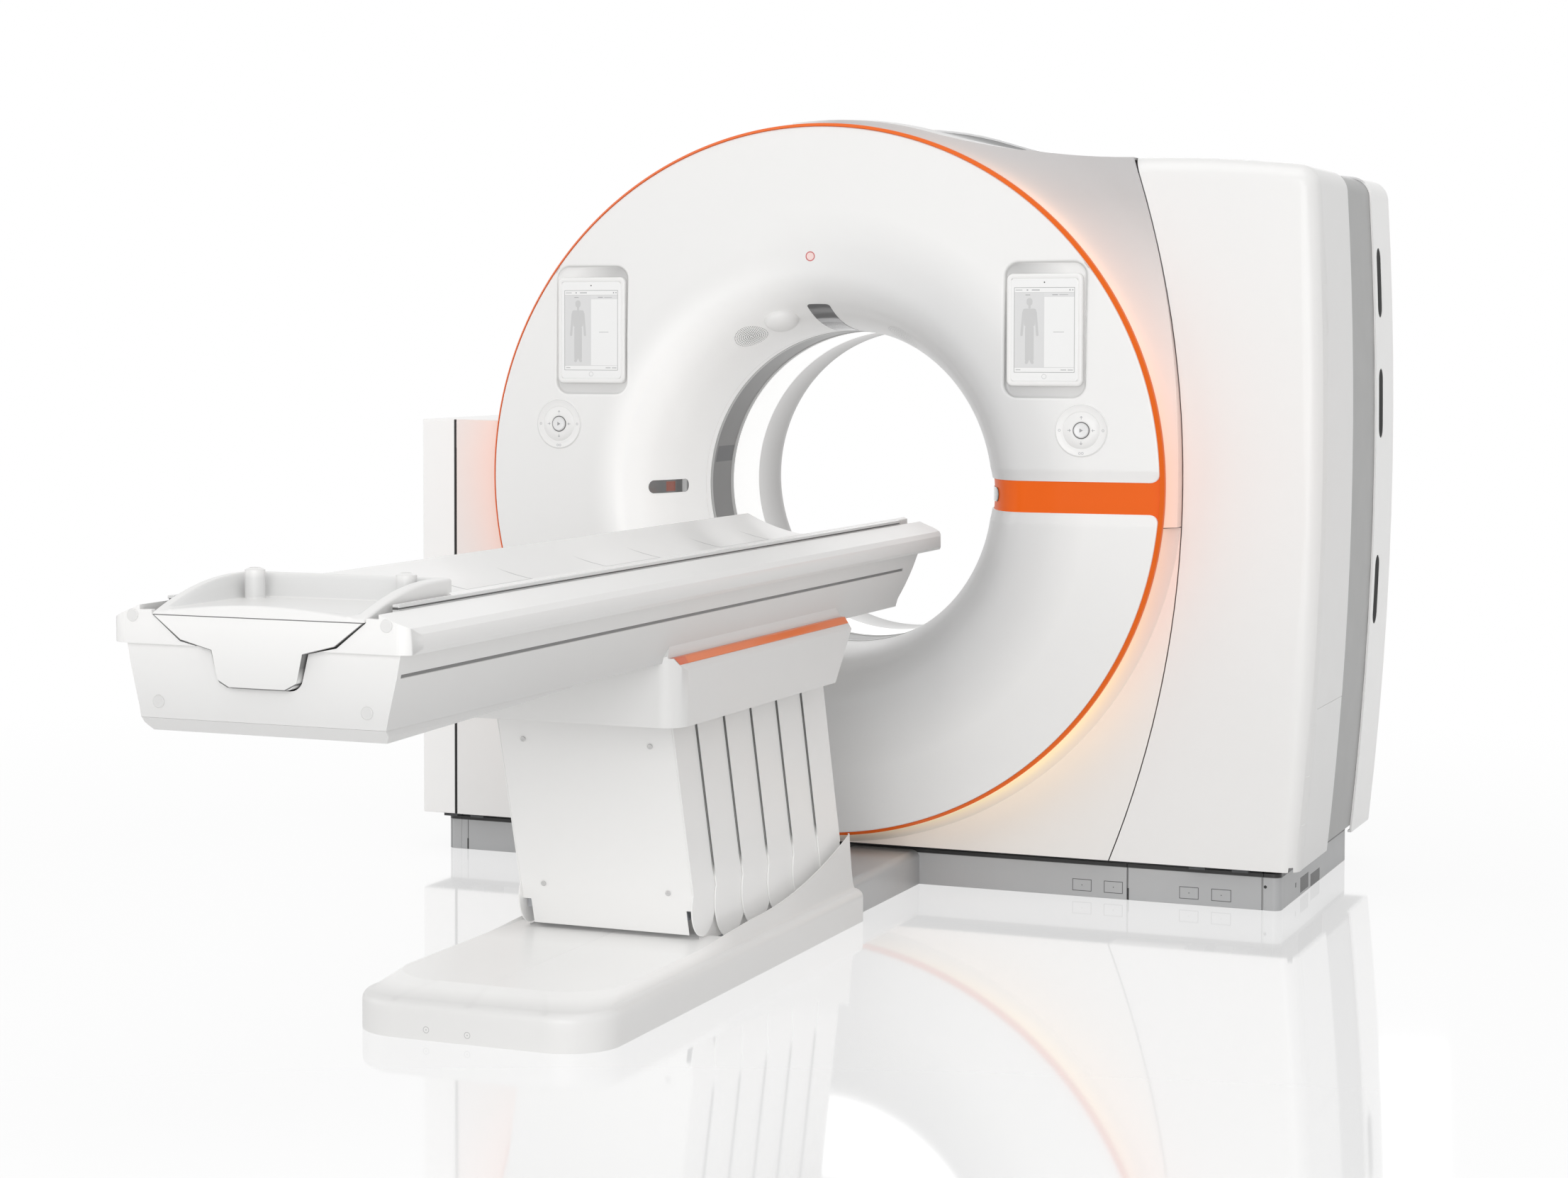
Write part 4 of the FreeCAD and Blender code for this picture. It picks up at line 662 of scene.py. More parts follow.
def pocket_patch(side):
    """Rings from the face over a rounded edge to the floor, then in to the middle."""

    def sunk(u, v, drop):
        x = side * (pocket_x + u)
        z = pocket_z + v
        pull = np.minimum(1, (shown_radius - lip_radius - 0.0002) / np.hypot(x, z - rim_height))
        x = x * pull
        z = rim_height + (z - rim_height) * pull
        return np.stack([x, face_y(x, z) + drop - 0.00008, z], -1)

    def bottom(u, v, drop):
        return np.stack([side * (pocket_x + u), pocket_floor - drop + 0 * u, pocket_z + v], -1)

    turn = np.linspace(0, np.pi / 2, 7)
    rows = [(pocket_edge + 0.011, 0.0), (pocket_edge + 0.003, 0.0)]
    rows += [(pocket_edge * (1 - np.sin(a)), pocket_edge * (1 - np.cos(a))) for a in turn]
    upper = np.stack([sunk(*pocket_loop(grow).T, drop) for grow, drop in rows])
    corner = 0.006
    rows = [(-corner * (1 - np.cos(a)), corner * (1 - np.sin(a))) for a in turn]
    lower = np.stack([bottom(*pocket_loop(grow).T, drop) for grow, drop in rows])
    last = pocket_loop(-corner)
    centre = np.stack([bottom(*(last * share).T, 0.0) for share in (0.8, 0.4, 0.001)])
    return closed(np.concatenate([upper, lower, centre]))


band_half = 0.039
band_bevel = 0.028
band_drop = 0.0052
band_corner = 0.023
edge_depth = 0.016
band_depth = 0.012
edge_reach = 0.9
first_angle = np.arcsin(band_half / edge_reach)
fine_millimetres = [0, 0.3, 1, 2, 3.5, 5.5, 8, 11, 15, 19, 23, 27, 29, 33, 40, 48]
fine = np.array(fine_millimetres) / 1000 / edge_reach
last_angle = 2 * np.pi - 2 * first_angle
coarse = np.linspace(fine[-1], last_angle - fine[-1], 681)[1:-1]
columns = first_angle + np.concatenate([fine, coarse, last_angle - fine[::-1]])


def disc_grid():
    """Rows along the profile, columns round it. Near the band, columns bend to run level with it."""
    lip = np.array([[tunnel_radius + 0.0006, throat + 0.0012], [tunnel_radius, throat - 0.0012]])
    steps = np.linspace(0.006, walked_to(flare_radius), 46)
    flare = np.stack([np.interp(steps, walked, profile[:, i]) for i in (0, 1)], -1)
    level = np.linspace(flare_radius, flat_radius, 12)[1:]
    inner = np.concatenate([lip, flare, np.stack([level, face_front + 0 * level], -1)])
    share = np.linspace(0, 1, 60)[1:]
    roll = np.linspace(0, np.pi / 2, 5)[1:]
    rise = rim_height - axis_height
    edge_radius = rise * np.sin(columns) + np.sqrt(shown_radius ** 2 - (rise * np.cos(columns)) ** 2)
    from_band = edge_reach * np.minimum(columns - columns[0], columns[-1] - columns)
    short = np.clip(band_corner - from_band, 0, band_corner)
    edge_radius = edge_radius - (band_corner - np.sqrt(band_corner ** 2 - short ** 2))
    radius = np.concatenate([
        inner[:, :1] + 0 * columns,
        flat_radius + share[:, None] * (edge_radius - lip_radius - flat_radius),
        edge_radius - lip_radius + lip_radius * np.sin(roll)[:, None],
    ])
    wall = np.zeros_like(radius)
    wall[-len(roll):] = lip_radius * (1 - np.cos(roll))[:, None]
    level_angle = np.arcsin(np.clip(band_half / radius, -1, 1))
    near = np.clip(1 - from_band / 0.45, 0, 1) ** 2
    sign = np.where(columns < np.pi, 1, -1)
    angle = columns + sign * (level_angle - first_angle) * near
    x = radius * np.cos(angle)
    z = axis_height + radius * np.sin(angle)
    y = face_front + np.maximum(radius - flat_radius, 0) * face_slope + wall
    y[: len(inner)] = inner[:, 1:]
    beyond = np.abs(z - axis_height) - band_half
    past_throat = np.clip((radius - tunnel_radius - 0.002) / 0.05, 0, 1)
    bevel = np.clip(1 - beyond / band_bevel, 0, 1) * (x > 0) * past_throat
    bevel = bevel - 0.5 * np.clip(bevel - 0.9, 0, 1) - 0.5 * np.clip(0.1 - bevel, 0, 0.1) * (bevel > 0)
    x = x + band_drop * bevel * np.clip((flare_radius - radius) / 0.1, 0, 1)
    y = y + band_drop * bevel * np.clip((radius - tunnel_radius) / 0.1, 0, 1)
    grid = np.stack([x, y, z], -1)
    grid = np.concatenate([grid, grid[-1:] + [0.0, edge_depth, 0.0]])
    along = np.interp(radius, profile[:, 0], walked)
    along = np.concatenate([along, 1 + 0 * x[-1:]])
    behind = np.array([0.0, band_depth, 0.0])
    grid = np.concatenate([grid[:, :1] + behind, grid, grid[:, -1:] + behind], axis=1)
    along = np.concatenate([along[:, :1], along, along[:, -1:]], axis=1)
    return grid, along


disc_points, disc_along = disc_grid()
clear = off_pocket(disc_points[..., 0], disc_points[..., 2]) > pocket_edge + 0.0006
patches = [pocket_patch(-1), pocket_patch(1)]
along_all = np.concatenate([disc_along.ravel()] + [np.ones(p[0].size // 3) for p in patches])
print("disc grid", disc_points.shape)

# %% [markdown]
# The disc's own paint also carries what is drawn on it: the small holes of the two loudspeakers, the
# round status mark above the tunnel and the fine line in the funnel, near its throat. Each is a mask
# worked out from the distance to its middle. Soft greys stand for shade in the pockets and in the
# funnel, and a faint glow on the funnel's left flank for the light that the tunnel returns.


# %% Paint of the disc
def perforated(across, upward, rings, spacing):
    """1 in round holes that stand in rings about a middle, smaller towards the outside."""
    distance = distance_to(across, upward)
    number = (distance / spacing).math("ROUND")
    holes = number * 6.0
    turn = upward.math("ARCTAN2", across) / (2 * math.pi) + 0.5
    cell = abs((turn * holes).math("FRACT") - 0.5)
    arc = cell * distance * (2 * math.pi) / holes.most(1.0)
    radial = distance - number * spacing
    size = number * -0.00007 + 0.0018
    spot = (distance_to(arc, radial) - size).below(0.0, 0.0007)
    return spot * number.below(rings + 0.5, 0.1)


speaker_angle = math.radians(62.3)
speaker_radius = 0.446
speaker_squeeze = 0.82
speaker_rings = 8
hole_spacing = 0.0052
mark_height = axis_height + 0.598
mark_radius, core_radius = 0.0125, 0.0095
line_place = 0.036
disc_paint = moulded("disc_paint", cover_colour)
x, y, z = disc_paint.place()
along = disc_paint.node("ShaderNodeAttribute", {"attribute_name": "along"}, output="Fac")
from_axis = distance_to(x, z, (0.0, axis_height))
around = (z - axis_height).math("ARCTAN2", abs(x))
outwards = (along - walked_to(speaker_radius)) * speaker_squeeze
holes = perforated(outwards, (around - speaker_angle) * from_axis, speaker_rings, hole_spacing)
from_mark = distance_to(x, z, (0.0, mark_height))
mark_core = from_mark.below(core_radius, 0.0015)
mark_ring = from_mark.below(mark_radius, 0.0015) - mark_core
line = abs(along - line_place).below(0.0007, 0.0008) * along.below(0.9, 0.01)
sunk = (y - face_front - (from_axis - flat_radius).most(0.0) * face_slope - 0.0035) / 0.005
in_pocket = abs(abs(x) - pocket_x).below(0.104, 0.004) * abs(z - pocket_z).below(0.17, 0.004)
under_top = (z - pocket_z - 0.13).below(0.0, 0.06)
pocket_shade = sunk.clamped() * in_pocket * (under_top * -0.35 + 0.60)
shade = x.rising(-0.15, 0.5) * from_axis.fading(0.72, 0.2)
paint = disc_paint.colour
for amount, colour in (
    (holes, (0.06, 0.06, 0.065)), (shade, grey(0.62)), (pocket_shade, grey(0.30)),
    (mark_ring, (0.55, 0.10, 0.10)), (mark_core, (0.86, 0.66, 0.63)), (line, grey(0.42)),
):
    paint = disc_paint.blend(amount, paint, colour)
near_throat = from_axis.fading(0.62, 0.14)
eased = near_throat * near_throat * (near_throat * -2.0 + 3.0)
bounce = eased * (x * -2.4 + 0.03).clamped() * (1 - holes)
disc_paint.set(Base_Color=paint, Emission_Color=disc_paint.blend(bounce, black, (1.0, 0.99, 0.98)))
disc_paint.set(Emission_Strength=0.24)
disc_paint.bump(disc_paint.noise(grain_scale) * 0.03 - holes - line, 0.001, 0.6)
faces = [(disc_points, quads_of(disc_points, keep=clear.ravel()))] + patches
disc = skin("front_disc", faces, disc_paint, "base", forward, along=along_all)
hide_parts("front_cover")
print("disc", len(disc.data.polygons), "faces")

# %% [markdown]
# The lit rim is one turned ring. A fine slit keeps it apart from the disc, its narrow front is a cone
# that falls back towards the outside, and a straight wall runs from there back to the covers. The
# light inside it is not strong: it warms the covers round it, and that warmth is part of their paint.
# The orange band is a strip sunk into the disc at the right, so it gets a grid of its own.

# %% Rim and band
rim_front = rim_low.y
rim_back = rim_high.y
rim_inner = shown_radius + 0.0004
cone_depth = 0.0125
rim_section = rounded_profile([
    (rim_inner, rim_back + 0.012), (rim_inner, rim_front),
    (rim_radius, rim_front + cone_depth), (rim_radius, rim_back),
], 0.0012)
rim_glow = moulded("rim_glow", (0.76, 0.125, 0.002), roughness=0.4, coat=0.05)
glow = rim_glow.blend(rim_glow.noise(2.0), (0.24, 0.030, 0.0), (0.30, 0.04, 0.0))
rim_glow.set(Specular_IOR_Level=0.2, Emission_Color=glow, Emission_Strength=0.3)
rim_turn = np.linspace(0, 2 * np.pi, 541)[:-1]
rim_points = turned_points(rim_section, rim_turn, rim_height)
rim = skin("lit_rim", [closed(rim_points)], rim_glow, "base", from_rim_centre)
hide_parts("rim_light")


def band_grid():
    """Recessed strip from the tunnel to the rim, which spreads up and down where it meets the rim."""
    stops = (tunnel_radius + 0.002, flare_radius, 0.86, 0.9046)
    runs = [np.linspace(*ends, count) for *ends, count in zip(stops, stops[1:], (60, 30, 16))]
    radius = np.concatenate([runs[0], runs[1][1:], runs[2][1:]])
    spread = np.clip((radius - 0.866) / 0.018, 0, 1)
    half = band_half + 0.002 + 0.03 * spread ** 2 * (3 - 2 * spread)
    z = half[:, None] * np.linspace(-1, 1, 25)
    x = np.sqrt(np.maximum(radius[:, None] ** 2 - z ** 2, 0))
    x = np.minimum(x, np.sqrt((shown_radius + 0.0006) ** 2 - (z - (rim_height - axis_height)) ** 2))
    x = x + band_drop * np.clip((flare_radius - radius) / 0.1, 0, 1)[:, None]
    y = np.interp(radius, profile[:, 0], profile[:, 1])[:, None] + band_drop + 0.0009 + 0 * z
    return np.stack([x, y, axis_height + z], -1)


band_points = band_grid()
band_paint = moulded("band_paint", (0.83, 0.12, 0.001), roughness=0.42, coat=0.05)
band_paint.set(Specular_IOR_Level=0.2)
band = skin("orange_stripe", [(band_points, quads_of(band_points))], band_paint, "base", forward)
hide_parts("orange_band")
print("rim section", len(rim_section), "points")

# %% [markdown]
# The windows for the positioning lasers and the one at the crown are tinted glass set flush in the
# funnel. What they show is a blurred hint of parts behind them, made as bands of grey, and in the
# left one a red diode and a bright strip. The signal dome sits on the funnel's upper slope. It is half
# an ellipsoid, and it is made upright about its own middle and then set on the slope.

# %% Windows and dome of the funnel
def banded(value, edges, tones):
    """Grey that steps through tones at edges along a value, each step softened."""
    total = tones[0]
    for edge, tone, before in zip(edges, tones[1:], tones[:-1]):
        total = total + value.rising(edge, 0.006) * (tone - before)
    return total


glass = Finish("tinted_glass", Coat_Weight=0.2, Roughness=0.12, Specular_IOR_Level=0.35)
x, y, z = glass.place()
crown_edges = (-0.50, -0.46, -0.43, -0.40, -0.37, -0.34)
tone = banded(y, crown_edges, (0.15, 0.10, 0.33, 0.13, 0.20, 0.10, 0.16))
glass.set(Base_Color=glass.joined(tone, tone, tone * 1.02), Roughness=0.10 + 0.04 * glass.noise(9.0))
diode_depth, strip_depth = -0.4525, -0.396
laser_glass = Finish("laser_glass", Coat_Weight=0.6)
x, y, z = laser_glass.place()
red = abs(y - diode_depth).below(0.017, 0.004) * abs(z - axis_height).below(0.013, 0.003)
red = red * x.below(0.0, 0.01)
bright = abs(y - strip_depth).below(0.010, 0.004)
tone = banded(y, (-0.475, -0.435, -0.41), (0.21, 0.17, 0.13, 0.16))
tinted = laser_glass.blend(red, laser_glass.joined(tone, tone, tone), (0.30, 0.07, 0.04))
tinted = laser_glass.blend(bright, tinted, grey(0.52))
laser_glass.set(Base_Color=tinted, Roughness=0.12 + 0.05 * laser_glass.noise(9.0))


def on_face(distance, angle):
    """A place function for details about a point of the face."""
    return lambda u, v, lift: laid(distance + u, v, angle, lift + 0 * u)


def window(name, finish, start, end, angle, half_across, corner, rows):
    """Filled rounded rectangle on the face, between two radii, at an angle round the axis."""
    start, end = walked_to(start), walked_to(end)
    place = on_face((start + end) / 2, angle)
    grid = filled(((end - start) / 2, half_across), corner, rows, place)
    return skin(name, [grid], finish, "base", forward)


flush = [(0.0, -0.001), (0.0, 0.0003), (-0.0006, 0.0007), (-0.002, 0.0007)]
crown = window("crown_window", glass, 0.4118, 0.478, np.pi / 2, 0.031, 0.010, flush)
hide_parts("funnel_fittings")
laser_half = 0.0172
right_sunk = [(grow, rise - 0.0048) for grow, rise in flush]
for name, angle, rows in (("left_laser_window", np.pi, flush), ("right_laser_window", 0.0, right_sunk)):
    window(name, laser_glass, 0.4215, 0.4738, angle, laser_half, laser_half, rows)
dome_radius, dome_angle = 0.4535, math.radians(104.8)
dome_foot = laid(walked_to(dome_radius), 0.0, dome_angle, 0)
outwards = laid(walked_to(dome_radius) + 0.01, 0.0, dome_angle, 0) - dome_foot
dome_axis = laid(walked_to(dome_radius), 0.0, dome_angle, 0.01) - dome_foot
outwards, dome_axis = outwards / np.linalg.norm(outwards), dome_axis / np.linalg.norm(dome_axis)
crosswise = np.cross(outwards, dome_axis)


def dome_points(half=0.045, height=0.027, sunk=0.012, rings=24, steps=96):
    """Half an ellipsoid on a short wall: half * cos(a) across and height * sin(a) high."""
    a = np.linspace(0, np.pi / 2 - 0.01, rings)
    across = np.concatenate([[half], half * np.cos(a)])[:, None, None]
    high = np.concatenate([[-sunk], height * np.sin(a)])[:, None, None]
    turned = np.linspace(0, 2 * np.pi, steps + 1)[:-1][None, :, None]
    way = np.cos(turned) * outwards + np.sin(turned) * crosswise
    return dome_foot + across * way + high * dome_axis


dome_paint = moulded("dome_paint", cover_colour, roughness=0.5, coat=0.0)
dome_grid = dome_points()
skin("signal_dome", [closed(dome_grid)], dome_paint, "base", forward)
print("three windows and a dome of", len(dome_grid), "rings")

# %% [markdown]
# Inside the tunnel a tinted ring, the white scan ring and the grey rear ring follow each other, and a
# thin pale trim covers each of the first two joints. They are plain turned profiles. The rear ring
# and the flare at the back are one lining, with a quarter of an ellipse for the flare.

# %% Tunnel rings
scan_low, scan_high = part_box("scan_window")
rear_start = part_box("rear_ring")[0].y
flare_low, flare_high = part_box("rear_flare")


def tube(name, finish, section):
    """Tunnel lining: a section of (radius, y) points with rounded corners, turned about the axis."""
    points = turned_points(rounded_profile(section, 0.0015), full_turn, axis_height)
    return skin(name, [closed(points)], finish, "base", to_axis)


ring_glass = moulded("ring_glass", (0.215, 0.212, 0.209), roughness=0.3, coat=0.12)
ring_glass.set(Specular_IOR_Level=0.3)
x, y, z = ring_glass.place()
sector = (z - axis_height).math("ARCTAN2", x * -1.0)
patch_angle, patch_depth = 0.19, -0.165
darker = abs(sector - patch_angle).below(0.053, 0.004) * abs(y - patch_depth).below(0.058, 0.003)
ring_glass.set(Base_Color=ring_glass.blend(darker, ring_glass.colour, (0.09, 0.09, 0.095)))
scan_white = moulded("scan_white", (0.86, 0.86, 0.855), roughness=0.4)
# The scan ring glows a little although it is no lamp: painted light.
glow = scan_white.blend(scan_white.noise(2.0), (0.95, 0.95, 0.94), pure_white)
scan_white.set(Emission_Color=glow, Emission_Strength=0.45)
ring_grey = moulded("ring_grey", (0.76, 0.752, 0.745), roughness=0.4)
# Deeper into the tunnel the rear ring is painted darker and its glow fades: painted shade and painted light.
depth = ring_grey.place()[1].rising(rear_start, 0.15)
ring_grey.set(Base_Color=ring_grey.blend(depth, ring_grey.colour, (0.52, 0.512, 0.505)))
ring_grey.set(Emission_Color=ring_grey.blend(depth, pure_white, grey(0.2)), Emission_Strength=0.10)
trim_pale = moulded("trim_pale", (0.50, 0.50, 0.495), roughness=0.3)
for name, finish, start, end, node, material_slot in (
    ("tinted_ring", ring_glass, ring_low.y, ring_high.y, "tunnel_dark_ring", "smoked_window"),
    ("scan_ring", scan_white, scan_low.y, scan_high.y, "scan_window", "tunnel_white"),
):
    ring = tube(name, finish, [(tunnel_radius, start), (tunnel_radius, end)])
    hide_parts(node)
trim_inner, trim_outer = tunnel_radius - 0.0012, tunnel_radius + 0.004
for number, (middle, half) in enumerate(((ring_low.y, 0.008), (ring_high.y + 0.006, 0.011))):
    start, end = middle - half, middle + half
    section = [
        (trim_outer, start), (trim_inner, start + 0.0004), (trim_inner, end - 0.0004), (trim_outer, end)]
    tube("ring_trim_%d" % number, trim_pale, section)
turn = np.linspace(0, np.pi / 2, 40)
flare_outer = half_width(flare_low, flare_high)
flare_start, flare_end = 0.245, flare_high.y - 0.001
rolled_radius = flare_outer - (flare_outer - tunnel_radius) * np.cos(turn)
rolled = np.stack([rolled_radius, flare_start + (flare_end - flare_start) * np.sin(turn)], -1)
rear_section = np.concatenate([[[tunnel_radius, rear_start]], rolled])
rear_points = turned_points(rear_section, full_turn, axis_height)
rear_lining = skin("rear_lining", [closed(rear_points)], ring_grey, "base", to_axis)
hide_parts("rear_ring", "rear_flare")
print("rings done, rear flare outer", round(flare_outer, 3))

# %% [markdown]
# A tablet is a thick white case round a thin white frame, with the screen in the middle. Its picture
# is a plain control page of rectangles and a simple figure, all worked out from distances. The masks
# for a rectangle and for a bar with round ends are written once and serve the later marks as well.

# %% Drawing on a surface
def face_place(side, centre_x, centre_z):
    """Place function for details that follow the slope of the disc's face."""

    def place(u, v, lift):
        x, z = side * centre_x + u, centre_z + v
        return np.stack([x, face_y(x, z) - lift, z], -1)

    return place


def flat_place(side, centre_x, centre_z, front):
    """Place function for details on a plane that faces the table."""
    return lambda u, v, lift: np.stack([side * centre_x + u, front - lift + 0 * u, centre_z + v], -1)


def box_mask(u, v, left, right, low, high, soft=0.0006):
    """1 inside a rectangle of the drawing."""
    inside = abs(u - (left + right) / 2).below((right - left) / 2, soft)
    return inside * abs(v - (low + high) / 2).below((high - low) / 2, soft)


def limb(u, v, start, end, radius):
    """1 inside a bar with round ends, from start to end."""
    dx, dz = end[0] - start[0], end[1] - start[1]
    length = dx * dx + dz * dz
    t = (((u - start[0]) * dx + (v - start[1]) * dz) / length).clamped()
    return distance_to(u - t * dx, v - t * dz, start).below(radius, 0.0008)


def any_of(u, v, boxes):
    """1 inside any of some rectangles that don't overlap, each given by left, right, low and high."""
    total = box_mask(u, v, *boxes[0])
    for box in boxes[1:]:
        total = total + box_mask(u, v, *box)
    return total.least(1.0)


print("masks ready")

# %% [markdown]
# The figure on the page is the same on both sides of its middle line, so it is drawn once over the
# distance from that line. The rows below are its neck, shoulders, chest, body, arm, leg and foot.

# %% Pages of the tablets
screen = moulded("tablet_screen", (0.86, 0.86, 0.855), roughness=0.18, coat=0.5, mottle=0.005)
x, y, z = screen.place()
u = x - x.math("SIGN") * pocket_x
v = z - pocket_z
figure_middle = -0.0375
across = abs(u - figure_middle)
figure = limb(across, v, (0.0, 0.071), (0.0, 0.067), 0.0075)
for start, end, radius in (
    ((0.0, 0.055), (0.0, 0.060), 0.003),
    ((0.0, 0.047), (0.0115, 0.047), 0.0055),
    ((0.0065, 0.043), (0.0065, 0.015), 0.0075),
    ((0.0, 0.040), (0.0, 0.008), 0.0090),
    ((0.0155, 0.043), (0.0200, -0.012), 0.0032),
    ((0.0055, 0.004), (0.0055, -0.072), 0.0056),
    ((0.0055, -0.076), (0.0075, -0.080), 0.0040),
):
    figure = figure.most(limb(across, v, start, end, radius))
page_half = 0.0756
outline = box_mask(u, v, -0.0766, 0.0766, -0.1046, 0.1046)
outline = outline - box_mask(u, v, -page_half, page_half, -0.1036, 0.1036)
page = box_mask(u, v, -page_half, 0.0, -0.092, 0.092)
tabs = box_mask(u, v, 0.0, page_half, 0.081, 0.092)
rules = any_of(u, v, ((-page_half, page_half, 0.0918, 0.0926), (-page_half, page_half, -0.0926, -0.0918)))
notes = any_of(u, v, (
    (-0.073, -0.056, 0.0975, 0.0990), (-0.045, -0.041, 0.0965, 0.0995), (-0.032, -0.012, 0.0970, 0.0992),
    (0.063, 0.066, 0.0960, 0.1000), (0.070, 0.073, 0.0965, 0.0995), (0.020, 0.034, 0.0852, 0.0872),
    (0.038, 0.060, 0.0856, 0.0868), (-0.048, -0.036, 0.0852, 0.0870), (0.023, 0.050, -0.0055, -0.0045),
    (-0.072, -0.060, -0.0990, -0.0975), (0.042, 0.056, -0.0990, -0.0972), (0.060, 0.073, -0.0990, -0.0972),
))
lens = distance_to(u, v, (0.0, 0.117))
home = distance_to(u, v, (0.0, -0.1145))
home_ring = home.below(0.0062, 0.0008) - home.below(0.0050, 0.0008)
drawn = screen.colour
for amount, colour in (
    (page, grey(0.70)), (figure, grey(0.58)), (tabs, grey(0.72)),
    (rules, grey(0.55)), (notes, (0.36, 0.36, 0.37)), (outline, grey(0.22)),
    (lens.below(0.0018, 0.0006), grey(0.05)), (home_ring, grey(0.60)),
):
    drawn = screen.blend(amount, drawn, colour)
screen.set(Base_Color=drawn)
screen.bump(screen.noise(grain_scale) * 0.02 - home_ring, 0.0005, 0.4)
print("page", round(2 * page_half, 3), "m wide")

# %% [markdown]
# Case and frame are both filled rounded rectangles that face the table. The case's rows run from the
# pocket's floor up the wall, over a rounded edge and down a fine step, where the frame lies.

# %% Tablets
tablet_low, tablet_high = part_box("tablets")
case_half, case_corner = (0.0965, 0.1385), 0.016
frame_half, frame_corner = (0.0846, 0.1266), 0.009
case_rows = edge_rows(0.0055, 0.0, -(tablet_high.y - tablet_low.y), 7)
case_rows += [(-0.0112, 0.0), (-0.0118, -0.0003), (-0.0120, -0.0014)]
frame_rows = [(0.0, -0.0014), (0.0, -0.0007), (-0.0004, -0.0003), (-0.002, -0.0003)]
for side, name in ((-1, "left"), (1, "right")):
    place = flat_place(side, pocket_x, pocket_z, tablet_low.y)
    case = filled(case_half, case_corner, case_rows, place)
    piece = skin(name + "_tablet_case", [case], white_cover, "base", forward)
    if side < 0:
        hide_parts("tablets")
    inner = filled(frame_half, frame_corner, frame_rows, place)
    skin(name + "_tablet", [inner], screen, "base", forward)
print("tablet front", round(tablet_low.y, 4))

# %% [markdown]
# Each control panel is a shallow round dish with two fine grooves and a start button in the middle.
# The symbols round it are printed: arrows for the table's moves and small rings for the lights.

# %% Paint of the control panels
panel_x, panel_z, panel_radius = 0.706, axis_height + 0.165, 0.0645


def about_panel(finish):
    """Place on a panel, right and up from its middle, and the distance to the middle."""
    x, y, z = finish.place()
    u, v = x - x.math("SIGN") * panel_x, z - panel_z
    return u, v, distance_to(u, v)


def arrow(u, v, middle, tip):
    """1 in a small arrow whose shaft lies along v and whose head points to tip."""
    shaft = box_mask(u, v, -0.0008, 0.0008, middle - 0.0035, middle + 0.0035, 0.0004)
    depth = (v - middle) * tip
    narrowing = (0.0052 - depth).most(0.0)
    head = abs(u).below(narrowing, 0.0005) * depth.most(0.0).below(0.0052, 0.0005)
    return shaft.most(head * depth.above(0.0010, 0.0004))


arrow_reach = 0.0305
panel_paint = moulded("panel_paint", cover_colour, roughness=0.36)
u, v, radius = about_panel(panel_paint)
signs = arrow(u, v, arrow_reach, 1.0).most(arrow(u, v, -arrow_reach, -1.0))
signs = signs.most(arrow(v, u, arrow_reach, -1.0)).most(arrow(v, u, -arrow_reach, 1.0))
for centre in ((-0.054, 0.0), (0.054, 0.0), (-0.0035, -0.056), (0.0035, -0.056)):
    gap = distance_to(u, v, centre)
    signs = signs.most(gap.below(0.0032, 0.0006) - gap.below(0.0018, 0.0006))
well = abs(radius - 0.0197).below(0.0011, 0.0005)
outer_line = abs(radius - 0.0628).below(0.0004, 0.0006)
marked = panel_paint.blend(signs * 0.8, panel_paint.colour, (0.38, 0.38, 0.40))
marked = panel_paint.blend(well, marked, (0.15, 0.15, 0.155))
panel_paint.set(Base_Color=panel_paint.blend(outer_line * 0.6, marked, grey(0.40)))
button_paint = moulded("button_paint", grey(0.80), roughness=0.25, coat=0.4)
u, v, radius = about_panel(button_paint)
triangle = abs(v).below(((0.0052 - u) * 0.58).most(0.0), 0.0004) * u.above(-0.0036, 0.0004)
rim_line = abs(radius - 0.0165).below(0.0005, 0.0006)
marked = button_paint.blend(triangle, button_paint.colour, (0.30, 0.30, 0.31))
button_paint.set(Base_Color=button_paint.blend(rim_line * 0.5, marked, grey(0.35)))
print("panels", round(2 * panel_radius, 3), "m wide")

# %% [markdown]
# Dish and cap are both turned about the panel's middle, each from rows of a radius and a lift over
# the disc's face. The cap is a piece of its own, because the button moves when it is pressed.

# %% Control panels and start buttons
def on_panel(side, rows, step):
    """Grid of circles about a panel's middle, one per (radius, lift) row, on the slope of the face."""
    place = face_place(side, panel_x, panel_z)
    turned = full_turn[::step]
    return closed(np.stack([place(r * np.cos(turned), r * np.sin(turned), lift) for r, lift in rows]))


turn = np.linspace(0, np.pi / 2, 5)
cap_radius = 0.0183
dish = [(panel_radius + 0.0012, -0.001), (panel_radius + 0.0012, 0.0002), (panel_radius + 0.0004, 0.0002)]
dish += [(panel_radius - 0.0015 * (1 - np.cos(a)), 0.0008 + 0.0012 * np.sin(a)) for a in turn]
dish += [(0.0615, 0.0020), (0.0600, 0.0013), (0.0480, 0.0010), (0.0464, 0.0010), (0.0458, 0.0003)]
dish += [(0.0450, 0.0003), (0.0444, 0.0010), (0.0240, 0.0010), (0.0212, 0.0010), (0.0208, 0.0001)]
dish += [(0.0, 0.0001)]
cap = [(cap_radius, -0.002)]
cap += [(cap_radius - 0.0022 * (1 - np.cos(a)), 0.0022 + 0.0022 * np.sin(a)) for a in turn]
cap += [(0.014, 0.0040), (0.006, 0.0036), (0.0, 0.0035)]
for side, name in ((-1, "left"), (1, "right")):
    grids = [on_panel(side, dish, 3)]
    piece = skin(name + "_control_panel", grids, panel_paint, "base", forward)
    if side < 0:
        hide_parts("control_panels")
    grids = [on_panel(side, cap, 5)]
    piece = skin(name + "_start_cap", grids, button_paint, name + "_button", forward)
    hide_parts(name + "_start_button")

